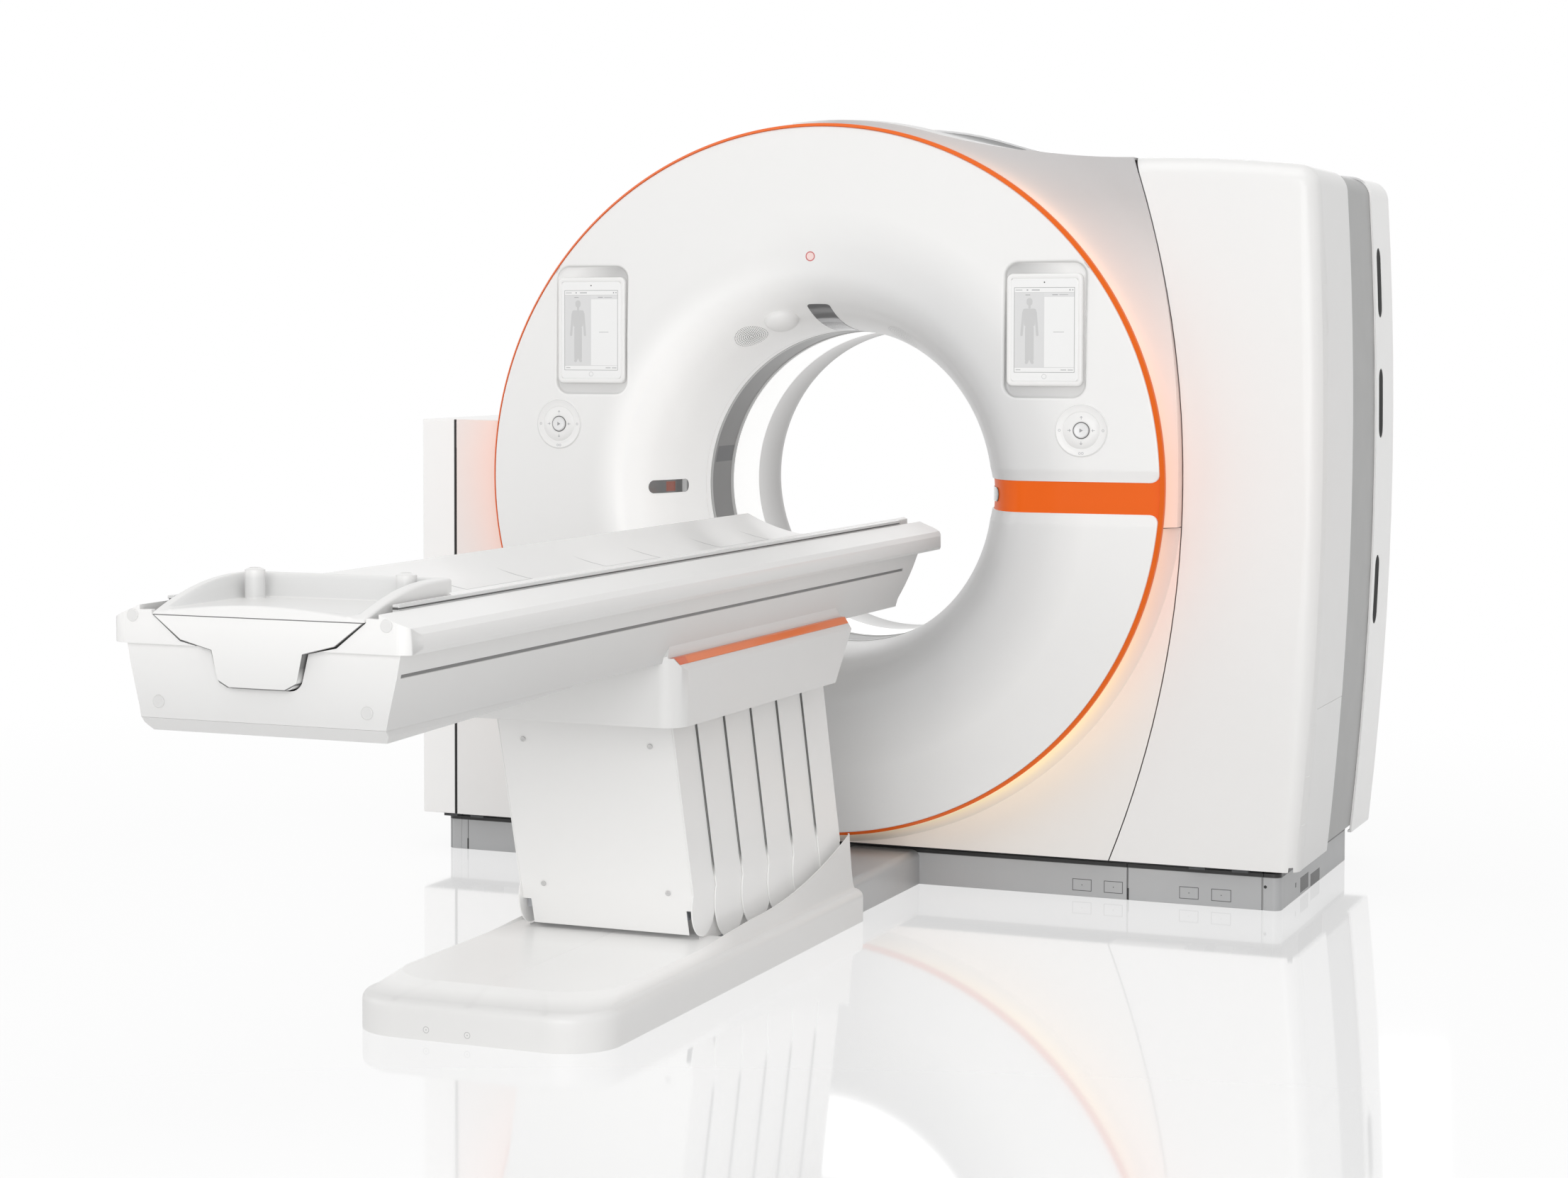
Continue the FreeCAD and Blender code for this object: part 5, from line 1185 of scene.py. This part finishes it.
# %% [markdown]
# Everything else that shows is a rounded copy of its CAD node. The covers beside the rim carry its
# warm light. Light from so small a lamp would need many samples, so it is part of their paint: the
# colour turns to peach with a falloff by distance from the rim's circle, and glows a little there.
# Ramps over the height say where the glow is yellow, where it is pink and where it ends.

# %% Covers lit by the rim
joint_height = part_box("upper_shoulder_cover")[0].z
cover_edge = 0.003


def warmed(name, pink, yellow, top_shade_and_joint):
    """Cover paint with painted light from the rim: a narrow glow beside it, yellow low down, a broader pink
    one; painted shade greys its top.
    """
    finish = moulded(name, cover_colour)
    x, y, z = finish.place()
    ring = distance_to(x, z, (0.0, rim_height)) - rim_radius
    distance = distance_to(ring, y, (0.0, rim_back))
    lit = z.fading(1.85, 0.75) * z.rising(-0.05, 0.9)
    wide = z.rising(0.55, 0.5) * 0.045 + 0.055
    broad = pink * lit / ((distance / wide) ** 2.0 + 1.0)
    reach = z.fading(1.0, 0.5) * 0.016 + 0.02
    off_ends = (abs(x) * 1.6 + 0.1).clamped() * z.fading(2.05, 0.35)
    narrow = yellow / ((distance / reach) ** 2.0 + 1.0) * off_ends
    tint = finish.blend(z.rising(0.35, 0.4), (1.0, 0.80, 0.50), (0.98, 0.64, 0.50))
    tint = finish.blend(z.rising(1.10, 0.3), tint, (1.0, 0.76, 0.64))
    # Painted shade: the top of the cover turns grey.
    in_shade = z.rising(1.25, 0.5) * x.rising(-0.076, 0.12) * top_shade_and_joint
    shaded = finish.blend(in_shade, finish.colour, (0.54, 0.535, 0.535))
    blushed = finish.blend(broad, shaded, (0.97, 0.63, 0.53))
    joint = abs(z - joint_height).below(0.0012, 0.0008) * x.above(0.85, 0.01) * top_shade_and_joint
    warm = finish.blend(narrow, blushed, tint)
    finish.set(Base_Color=finish.blend(joint * 0.9, warm, (0.05, 0.04, 0.04)))
    lamp_colour = finish.blend(z.rising(0.40, 0.5), (1.0, 0.80, 0.42), (0.40, 0.29, 0.23))
    glow = finish.blend(broad * (1 - joint), black, (0.18, 0.12, 0.10))
    glow = finish.blend(narrow * (1 - joint), glow, lamp_colour)
    return finish.set(Emission_Color=glow, Emission_Strength=0.40)


def slimmed(points):
    """Front of the drum drawn in behind the rim: 22 mm at the very front, nothing 230 mm behind it."""
    x, y, z = points.T
    radius = np.hypot(x, z - rim_height)
    angle = np.degrees(np.arctan2(z - rim_height, x))
    share = np.clip((angle - 52) / 40, 0, 1) * (z > rim_height + 0.1)
    share = share * np.clip((-0.25 - y) / 0.23, 0, 1)
    share = share * np.clip((radius - 0.910) / 0.02, 0, 1) * (radius < 0.99)
    scale = (1 - 0.022 * share / radius)[:, None]
    middle = np.array([0.0, 0.0, rim_height])
    return np.where([True, False, True], middle + (points - middle) * scale, points)


shoulder_paint = warmed("shoulder_paint", 0.85, 1.0, 1.0)
shoulder_paint.set(Coat_Weight=0.0, Specular_IOR_Level=0.12, Roughness=0.6)
left_paint = warmed("left_shoulder_paint", 1.0, 0.4, 0.0)
seam_paint = warmed("side_cover_paint", 0.45, 0.0, 0.0)
for node, finish, shape in (
    ("upper_shoulder_cover", shoulder_paint, slimmed), ("lower_shoulder_cover", shoulder_paint, None),
    ("left_shoulder_cover", left_paint, slimmed), ("right_side_cover", seam_paint, None),
    ("right_service_panel", white_cover, None),
):
    rounded(node, finish, cover_edge, shape=shape)
print("joint between the shoulders at", round(joint_height, 3), "m")

# %% [markdown]
# The rear cover and the left side cover share one paint. It draws the dark joints between the covers
# as thin masks, because a gap of two or three millimetres is no more than a line to the camera.
# The roof is plain grey, lighter towards the front, and so matt that it mirrors nothing.

# %% Rear cover, side cover, roof and band
rear_paint = moulded("rear_paint", (0.88, 0.875, 0.865))
x, y, z = rear_paint.place()
joint = x.above(-1.0685, 0.0012) * y.below(-0.47, 0.002) * x.below(-1.0, 0.01)
for seam in (-0.735, 0.735):
    joint = joint.most(abs(x - seam).below(0.0015, 0.001) * y.above(0.43, 0.004))
edge_grey = y.below(0.207, 0.001) * z.rising(1.80, 0.02)
drawn = rear_paint.blend(edge_grey, grey(0.01), grey(0.80))
rear_paint.set(Base_Color=rear_paint.blend(joint.most(edge_grey), rear_paint.colour, drawn))
# The covers glow faintly, apart from their joints: painted light.
rear_paint.set(Emission_Color=rear_paint.blend(joint, rear_paint.colour, black), Emission_Strength=0.07)
mid_grey = moulded("mid_grey", (0.36, 0.36, 0.355), roughness=0.42)
roof_grey = moulded("roof_grey", grey(0.40), roughness=0.8, coat=0.0)
front_share = roof_grey.place()[1].fading(0.05, 0.25)
lighter = roof_grey.blend(front_share, roof_grey.colour, grey(0.66))
roof_grey.set(Base_Color=lighter, Specular_IOR_Level=0.0)
for node in ("left_side_cover", "rear_cover"):
    rounded(node, rear_paint, cover_edge)
rounded("roof_cover", roof_grey, 0.004, shape=slimmed)
rounded("right_mid_band", mid_grey, 0.004)

# %% [markdown]
# The plinth is folded sheet metal with knock-outs for cables, seams and a few holes. They are flat
# and dark, so they are drawn in the paint: frames with a dot, upright lines, spots and slots.

# %% Plinth and duct
plinth_paint = moulded("plinth_paint", (0.52, 0.525, 0.53), roughness=0.4)
x, y, z = plinth_paint.place()
plinth_edge = 0.0015
# The paint starts with a dark strip along the top: painted shadow under the covers' edge. The marks follow.
marks_and_shadow = z.above(0.081, 0.002)
on_front = y.below(-0.426, 0.002)
on_side = x.above(1.14, 0.002)
low, high, line = 0.014, 0.044, 0.0014
for left, right in ((0.649, 0.698), (0.730, 0.778), (0.921, 0.969), (1.001, 1.050)):
    knock_out = box_mask(x, z, left, right, low, high, 0.001)
    knock_out = knock_out - box_mask(x, z, left + line, right - line, low + line, high - line, 0.001)
    dot = distance_to(x, z, ((left + right) / 2, (low + high) / 2)).below(0.0012, 0.0008)
    marks_and_shadow = marks_and_shadow.most((knock_out + dot) * on_front)
for seam in (0.791, 1.126, -1.104, -1.053):
    marks_and_shadow = marks_and_shadow.most(abs(x - seam).below(0.0009, 0.001) * on_front)
for notch in (0.7915, -1.0535):
    marks_and_shadow = marks_and_shadow.most(box_mask(x, z, notch - 0.0022, notch + 0.0022, 0.0, 0.030) * on_front)
for hole in ((0.128, 0.026), (1.134, 0.058)):
    marks_and_shadow = marks_and_shadow.most(distance_to(x, z, hole).below(0.004, 0.0008) * on_front)
for slot in ((-0.196, -0.096, 0.007, 0.045), (-0.070, 0.046, 0.002, 0.034), (-0.258, -0.244, 0.030, 0.042)):
    marks_and_shadow = marks_and_shadow.most(box_mask(y, z, *slot) * on_side)
# The side face is painted darker: painted shade.
beside = plinth_paint.blend(x.above(1.255, 0.004), plinth_paint.colour, (0.42, 0.42, 0.425))
plinth_paint.set(Base_Color=plinth_paint.blend(marks_and_shadow.least(1.0), beside, grey(0.006)))
for node in ("plinth_front_panels", "plinth_side_panels", "plinth_corner_posts"):
    rounded(node, plinth_paint, plinth_edge)
rounded("connecting_duct", grey_cover, plinth_edge)

# %% [markdown]
# The column of the table is six pairs of shingled slats behind a front plate. They lean by 17 degrees
# away from the scanner and turn on pins in the foot. Their joints repeat at an even pitch, so the
# paint takes the fraction of the distance along the table, less the lean, and darkens a thin line
# in each.

# %% Column of the table
pivot_y, pivot_z = -1.784, 0.170
link_pitch = 0.148
first_seam = -1.8585
lean = math.radians(17)
slats = ["slat_%d" % number for number in range(1, 7)]
column_paint = moulded("column_paint", table_colour, roughness=0.38)
x, y, z = column_paint.place()
row = ((y + (z - pivot_z) * math.tan(lean) - first_seam) / link_pitch - 0.5).math("FRACT") - 0.5
# Each dark line is the joint between two slats, widened into painted shadow along the edge of the next slat.
seam = abs(row).below(0.012, 0.005) * z.above(0.24, 0.03) * y.below(-1.0, 0.01)
seam = seam * abs(x).above(0.2055, 0.001)
column_paint.set(Base_Color=column_paint.blend(seam, column_paint.colour, grey(0.13)))
# The lower part of the column glows a little, except in the lines: painted light.
lower = z.fading(0.60, 0.4) * (1 - seam)
glow = column_paint.blend(lower, black, (1.0, 1.0, 0.99))
column_paint.set(Emission_Color=glow, Emission_Strength=0.10)
for node in slats:
    rounded(node, column_paint, 0.006)
rounded("column_front_plate", column_paint, 0.003)
print("slats", len(slats))

# %% [markdown]
# Trough, pan and side rails make the long body of the table, and the plug closes its foot end. The
# groove in the rails and the dark gap round the plug are drawn. The CAD trough narrows in two steps,
# and the real one has a single steep wall, so its points are moved out by a factor that changes with
# their height.

# %% Trough, saddle and plug
table_paint = moulded("table_paint", table_colour, roughness=0.38)
x, y, z = table_paint.place()
groove_height = 0.824
shaded = table_paint.blend(z.fading(0.90, 0.16), table_paint.colour, (0.67, 0.667, 0.66))
groove = abs(z - groove_height).below(0.0030, 0.0012) * box_mask(y, z, -3.281, -0.640, 0.8, 0.85)
table_paint.set(Base_Color=table_paint.blend(groove * 0.9, shaded, grey(0.12)))
plug_paint = moulded("plug_paint", table_colour, roughness=0.38)
x, y, z = plug_paint.place()
shaded = plug_paint.blend(z.fading(0.90, 0.12), plug_paint.colour, (0.70, 0.698, 0.69))
gap = z.above(0.9152, 0.0006) * y.below(-3.305, 0.002)
outline = ((0.2126, 0.9167), (0.155, 0.873), (0.092, 0.857), (0.081, 0.806), (0.056, 0.793), (0.0, 0.793))
for start, end in zip(outline, outline[1:]):
    gap = gap.most(limb(abs(x), z, start, end, 0.0012))
plug_paint.set(Base_Color=plug_paint.blend(gap * 0.9, shaded, grey(0.10)))
rounded("foot_plug", plug_paint, 0.0015)


def upright_sides(points):
    """Lower sides of trough and pan drawn out into one steep wall, by a factor that depends on z."""
    x, y, z = points.T
    joint = 0.731
    widest, pan_widest = 1.154, 1.051
    trough = np.interp(z, [joint, 0.749, groove_height], [widest, 1.078, 1.0])
    pan = np.interp(z, [0.706, 0.720], [1.07, pan_widest])
    drawn = np.where(z > joint + 0.0005, trough, pan)
    at_joint = np.abs(z - joint) < 0.0005
    drawn = np.where(at_joint, np.where(np.abs(x) < 0.225, widest, pan_widest), drawn)
    scale = np.where(np.abs(x) > 0.15, drawn, 1.0)[:, None]
    return np.where([True, False, False], points * scale, points)


# The saddle's white is darker than the table's: painted shade for its place low under the trough.
saddle_paint = moulded("saddle_paint", (0.76, 0.756, 0.747), roughness=0.38)
for node, finish, shape in (
    ("table_trough", table_paint, upright_sides), ("trough_pan", table_paint, upright_sides),
    ("table_side_rails", table_paint, None), ("saddle", saddle_paint, None),
):
    rounded(node, finish, 0, angle=32, shape=shape)

# %% [markdown]
# The board is the moving table top. Three thin outlines are drawn on its left half, and they fade out
# towards the side. The accessory rails are pale bars, and a dark groove is drawn along their inner
# side. The vents stay plain CAD nodes, in black.

# %% Board, rails and vents
board_paint = moulded("board_paint", cover_colour)
x, y, z = board_paint.place()
board_left, board_right = -0.30, -0.058
outline = 0.0 * z
for start, end in ((-2.383, -2.074), (-1.697, -1.393), (-1.028, -0.703)):
    shape = box_mask(x, y, board_left, board_right, start, end, 0.001)
    shape = shape - box_mask(x, y, board_left, board_right - 0.007, start + 0.007, end - 0.007, 0.001)
    outline = outline + shape * x.above(-0.13, 0.04)
board_paint.set(Base_Color=board_paint.blend(outline * 0.85, board_paint.colour, grey(0.40)))
rounded("table_board", board_paint, 0, angle=32)
vent_black = Finish("vent_black", Roughness=0.85)
speckled = vent_black.blend(vent_black.noise(30.0), grey(0.006), grey(0.014))
vent_black.set(Base_Color=speckled)
rod_paint = moulded("rod_paint", (0.78, 0.78, 0.775), roughness=0.25)
x, y, z = rod_paint.place()
rod_height = 0.935
groove = abs(x).below(0.2335, 0.001) * abs(z - rod_height).below(0.0022, 0.001)
rod_paint.set(Base_Color=rod_paint.blend(groove, rod_paint.colour, grey(0.10)))
rounded("accessory_rails", rod_paint, 0)
painted("vent_grilles", vent_black)

# %% [markdown]
# The tray at the foot end is a pan with a thick soft rim. Its rim is low in front, with a shallow
# arch, and climbs along the sides to the posts. A height for every point of its plan describes it
# well, so one grid gives the floor, the walls and the rounded edges, and its border drops as a skirt.
# The row at the shoulder of the posts stands twice, which keeps that edge crisp.

# %% Tray at the foot end
tray_low, tray_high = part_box("accessory_tray")
tray_floor = tray_low.z + 0.010
tray_corner = 0.0065
lip_height, lip_arch = 0.004, 0.017
wall_rise, wall_length = 0.050, 0.27
back_rise = 0.044
side_reach, front_reach = 0.036, 0.05


def soft_step(value, start, end):
    """0 before the start, 1 after the end, and a smooth curve between."""
    share = np.clip((value - start) / (end - start), 0, 1)
    return share * share * (3 - 2 * share)


def close_at_ends(low, high, count):
    """Places from low to high, close together at both ends, where the edges are rounded."""
    near = np.array([0, 0.0004, 0.0015, 0.003, 0.0045, 0.0065])
    return np.concatenate([low + near, np.linspace(low + 0.009, high - 0.009, count), high - near[::-1]])


def tray_points():
    """Height over the plan: the highest of floor, front lip, side walls and back wall."""
    x = close_at_ends(tray_low.x, tray_high.x, 110)
    y = close_at_ends(tray_low.y, tray_high.y, 84)
    x, y = np.meshgrid(x, y)
    from_side = tray_high.x - np.abs(x)
    from_front = y - tray_low.y
    from_back = tray_high.y - y
    lip = tray_low.z + lip_height + lip_arch * np.cos(x / tray_high.x * np.pi / 2)
    rising = 1 - (1 - np.clip(from_front / wall_length, 0, 1)) ** 2
    wall = tray_low.z + lip_height + wall_rise * rising
    front = tray_floor + (lip - tray_floor) * (1 - soft_step(from_front, 0.016, front_reach))
    side = tray_floor + (wall - tray_floor) * (1 - soft_step(from_side, 0.020, side_reach))
    back = tray_floor + back_rise * (1 - soft_step(from_back, 0.018, side_reach))
    border = np.minimum(np.minimum(from_side, from_front), from_back)
    short = np.clip(tray_corner - border, 0, tray_corner)
    drop = tray_corner - np.sqrt(tray_corner ** 2 - short ** 2)
    edge = np.where(from_side < side_reach, side, 0)
    edge = np.maximum(edge, np.where(from_back < side_reach, back, 0))
    edge = np.maximum(edge, np.where(from_front < front_reach, front, 0))
    height = np.maximum(edge, np.where(border > 0.016, tray_floor, 0)) - drop
    top = np.stack([x, y, np.maximum(height, tray_low.z + 0.0005)], -1)
    top = np.concatenate([top[:1], top, top[-1:]])
    top = np.concatenate([top[:, :1], top, top[:, -1:]], axis=1)
    for border_part in (top[0], top[-1], top[:, 0], top[:, -1]):
        border_part[..., 2] = tray_low.z
    return top


def on_tray(centre_x, centre_y):
    """Place function for details that stand on the tray's floor."""
    foot = tray_floor - 0.001
    return lambda u, v, lift: np.stack([centre_x + u, centre_y + v, foot + lift + 0 * u], -1)


def upward(points):
    """Straight up."""
    return np.array([0.0, 0.0, 1.0]) + 0 * points


tray_paint = moulded("tray_paint", (0.82, 0.815, 0.805), roughness=0.4)
x, y, z = tray_paint.place()
inner = abs(x).below(0.193, 0.004) * y.above(-3.29, 0.01) * y.below(-3.003, 0.004)
# The inner walls are painted darker than floor and rim: painted shade.
walls = inner * z.below(0.970, 0.012) * z.above(0.9285, 0.002)
tray_paint.set(Base_Color=tray_paint.blend(walls, tray_paint.colour, (0.70, 0.70, 0.695)))
tray_grid = tray_points()
tray_parts = [(tray_grid, quads_of(tray_grid))]
post_x, post_y, post_radius = 0.157, -3.052, 0.019
post_shoulder = (0.0, 0.053)
post_rows = [(0.0, 0.0), post_shoulder, post_shoulder, (-0.009, 0.057), (-0.0095, 0.049)]
for side in (-1, 1):
    place = on_tray(side * post_x, post_y)
    tray_parts.append(filled((post_radius, post_radius), post_radius, post_rows, place))
tray = skin("foot_tray", tray_parts, tray_paint, "board", upward)
tray.data.set_sharp_from_angle(angle=math.radians(50))
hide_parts("accessory_tray")
print("tray", tray_grid.shape)

# %% [markdown]
# Small things catch the eye once the big forms are right: the orange strips that lie on the sloped
# shoulders of the saddle, and the flat caps that hide the screws of the rails and of the column. A
# strip is a grid whose rows run along the table. Its foot end is cut at a slant, so each of its lines
# starts at its own place.

# %% Strips and screw caps of the table
def sideways(points):
    """Away from the middle plane and up."""
    return np.stack([np.sign(points[:, 0]), 0 * points[:, 0], 0.6 + 0 * points[:, 0]], -1)


strip_end = -1.0615
share = np.linspace(0, 1, 8)
slant = np.interp(share, [0.0, 0.32, 0.65, 1.0], [-2.092, -2.088, -2.085, -2.081])
strip_x = np.concatenate([[0.2588], 0.2686 + 0.0088 * share, [0.2770]])
strip_z = np.concatenate([[0.7416], 0.7414 - 0.0139 * share, [0.7270]])
strip_start = np.concatenate([[-2.095], slant, [-2.080]])
strip_y = strip_start + (strip_end - strip_start) * np.linspace(0, 1, 12)[:, None]
strip_paint = moulded("strip_paint", (0.86, 0.17, 0.012), roughness=0.3, coat=0.3)
dark_end = strip_paint.place()[1].below(-2.035, 0.006) * 0.8
strip_paint.set(Base_Color=strip_paint.blend(dark_end, strip_paint.colour, (0.72, 0.085, 0.0)))
strips = []
for side in (-1, 1):
    grid = np.stack([side * (strip_x + 0 * strip_y), strip_y, strip_z + 0 * strip_y], -1)
    strips.append((grid, quads_of(grid)[:, ::side]))
strip = skin("saddle_strips", strips, strip_paint, "carriage", sideways)
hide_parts("saddle_inlays")
# The caps are greyer than the table's white, and darker still low down: painted shade.
cap_paint = moulded("cap_paint", (0.72, 0.716, 0.707), roughness=0.3)
low_cap_shade = cap_paint.place()[2].below(0.80, 0.02)
cap_paint.set(Base_Color=cap_paint.blend(low_cap_shade, cap_paint.colour, (0.64, 0.637, 0.63)))
screw_cap, plate_cap = 0.0115, 0.006
cap_rows = [(0.0, -0.0008), (0.0, 0.0012), (-0.0004, 0.0018), (-0.0012, 0.0022)]
for name, cap_x, cap_z, front in (
    ("rail_cap_", 0.255, 0.913, -3.3081), ("trough_cap_", 0.210, 0.760, -3.2951),
):
    for side, way in ((-1, "left"), (1, "right")):
        place = flat_place(side, cap_x, cap_z, front)
        grid = filled((screw_cap, screw_cap), screw_cap, cap_rows, place)
        skin(name + way, [grid], cap_paint, "carriage", forward)
plate_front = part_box("column_front_plate")[0].y
plate_top = 0.622


def on_plate(centre_x, centre_z):
    """Place function for details on the leaning front plate of the column."""

    def place(u, v, lift):
        z = centre_z + v * math.cos(lean)
        y = plate_front + (plate_top - z) * math.tan(lean) - lift * math.cos(lean)
        return np.stack([centre_x + u, y, z - lift * math.sin(lean)], -1)

    return place


cap_rows = [(0.0, -0.0005), (0.0, 0.0010), (-0.0008, 0.0013), (-0.0030, 0.0013), (-0.0034, 0.0002)]
for number, (x, z) in enumerate(((-0.150, 0.534), (0.150, 0.534), (-0.149, 0.203), (0.149, 0.203))):
    grid = filled((plate_cap, plate_cap), plate_cap, cap_rows, on_plate(x, z))
    skin("plate_cap_%d" % number, [grid], cap_paint, "first_link", forward)
print("strips", len(strips), "and eight caps")

# %% [markdown]
# The table's foot is one big moulding, and all its forms follow the outline: an upright skirt, a wide
# rounded edge, a slope up to the pad, and walls at the sides that sweep up towards the scanner. So it
# is built from loops of that outline. Each loop has its own inset, and its height varies along it.

# %% Foot of the table
foot_low, foot_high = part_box("table_plinth")
foot_half, foot_front, foot_back = foot_high.x, foot_low.y, foot_high.y
slat_reach = 0.246
well_start = -1.745
sweep_start = -1.60
pad_height, skirt_top = 0.1, 0.078
foot_edge = 0.02


def foot_loop(half, front, back, wide, tight):
    """Plan outline, walked round from the middle of the foot end, evenly in each straight and corner."""
    arc = np.linspace(0, np.pi / 2, 16)
    right = [np.stack([np.linspace(0, half - wide, 12), np.full(12, front)], -1)]
    right.append(np.stack([half - wide + wide * np.sin(arc), front + wide - wide * np.cos(arc)], -1))
    right.append(np.stack([np.full(90, half), np.linspace(front + wide, back - tight, 90)], -1))
    right.append(np.stack([half - tight + tight * np.cos(arc), back - tight + tight * np.sin(arc)], -1))
    right.append(np.stack([np.linspace(half - tight, 0, 12), np.full(12, back)], -1))
    right = np.concatenate(right)
    return np.concatenate([right, right[::-1] * [-1, 1]])


def sweep(y):
    """Height of the raised sides: level over the pad, then an arc up to the peak at the scanner."""
    rise = np.clip((y - sweep_start) / (foot_back - 0.012 - sweep_start), 0, 1)
    return pad_height + 0.014 * np.clip((y + 1.9) / 0.3, 0, 1) + (foot_high.z - 0.115) * rise ** 2


def foot_points():
    """Loops from the floor up the skirt, over the edge, up the slope, and down inside."""
    outer = foot_loop(foot_half, foot_front, foot_back, 0.115, 0.014)
    inset = foot_loop(foot_half - foot_edge, foot_front + foot_edge, foot_back - 0.004, 0.095, 0.010)
    pad = foot_loop(slat_reach + 0.003, foot_front + 0.098, foot_back - 0.010, 0.13, 0.006)
    hollow = foot_loop(slat_reach, foot_front + 0.101, foot_back - 0.012, 0.127, 0.004)
    side = np.abs(pad[:, 0]) > slat_reach - 0.002
    top = np.where(side, sweep(pad[:, 1]), np.where(pad[:, 1] > -1.2, 0.105, pad_height))
    wall_top = skirt_top - foot_edge
    rows = [(outer, 0.0), (outer, 0.02), (outer, 0.04), (outer, wall_top)]
    for a in np.linspace(0, np.pi / 2, 8)[1:]:
        rows.append((outer + (inset - outer) * (1 - np.cos(a)), wall_top + foot_edge * np.sin(a)))
    for t in (0.08, 0.2, 0.35, 0.5, 0.65, 0.8, 0.92, 0.97, 1.0):
        share = t ** (1 + 1.2 * np.clip((top - pad_height) / 0.1, 0, 1))
        share = share - 0.24 * t * (1 - t) * (t > 0.8)
        rows.append((inset + (pad - inset) * t, skirt_top + (top - skirt_top) * share))
    depth = np.where(pad[:, 1] > well_start, 0.07, pad_height)
    rows.append((pad + (hollow - pad) * 0.6, top))
    rows.append((hollow, np.minimum(top, pad_height)))
    for share in (0.998, 0.7, 0.35, 0.001):
        rows.append((hollow * [share, 1], depth))
    return np.stack([np.column_stack([plan, height + 0 * plan[:, 0]]) for plan, height in rows])


def upward_and_out(points):
    """Up, and away from the foot's middle."""
    return np.stack([points[:, 0] * 0.5, (points[:, 1] + 1.73) * 0.15, 1.0 + 0 * points[:, 2]], -1)


foot_paint = moulded("foot_paint", table_colour, roughness=0.38)
x, y, z = foot_paint.place()
# The raised top of the foot glows a little although it is no lamp: painted light.
raised = z.rising(0.072, 0.02) * y.fading(-1.72, 0.25)
foot_paint.set(Emission_Color=foot_paint.blend(raised, black, (1.0, 1.0, 0.99)), Emission_Strength=0.17)
plugs = 0.0 * z
for plug in ((-0.091, 0.0215), (0.001, 0.019)):
    gap = distance_to(x, z, plug)
    spot = abs(gap - 0.0062).below(0.0006, 0.0008) + gap.below(0.0014, 0.0008)
    plugs = plugs + spot * y.below(-2.45, 0.01)
foot_paint.set(Base_Color=foot_paint.blend(plugs * 0.7, foot_paint.colour, grey(0.35)))
foot_grid = foot_points()
foot = skin("table_foot", [closed(foot_grid)], foot_paint, "base", upward_and_out)
foot.data.set_sharp_from_angle(angle=math.radians(40))
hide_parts("table_plinth")
print("foot", foot_grid.shape)

# %% [markdown]
# Between the round feet of the slats one would look through under the column. An upright apron on
# each side closes these wedges. Its upper edge runs in the shade of the slats, and in front it is cut
# down to the circle that the lower edge of the front plate sweeps when the table moves.

# %% Aprons of the column
plate_reach = 0.068
apron_x, apron_low, apron_high = 0.2035, 0.088, 0.19
apron_y, up = np.meshgrid(np.linspace(-1.80, -1.0, 81), np.linspace(0, 1, 5))
turning = np.sqrt(np.maximum(plate_reach ** 2 - (apron_y - pivot_y) ** 2, 0))
apron_top = np.where(turning > 0, pivot_z - turning, apron_high)
apron_z = apron_low + (apron_top - apron_low) * up
aprons = []
for side in (-1, 1):
    grid = np.stack([side * apron_x + 0 * apron_y, apron_y, apron_z], -1)
    aprons.append((grid, quads_of(grid)[:, ::side]))
skin("foot_aprons", aprons, foot_paint, "base", sideways)
print("aprons up to", round(float(apron_top.max()), 3))

# %% [markdown]
# Last, the overall size is measured again and printed with the box of the CAD model. It
# must still fit the box of the CAD model.

# %% Size and finish
size = [[round(c, 6) for c in corner] for box in (cad_box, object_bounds()) for corner in box]
print("size", size)
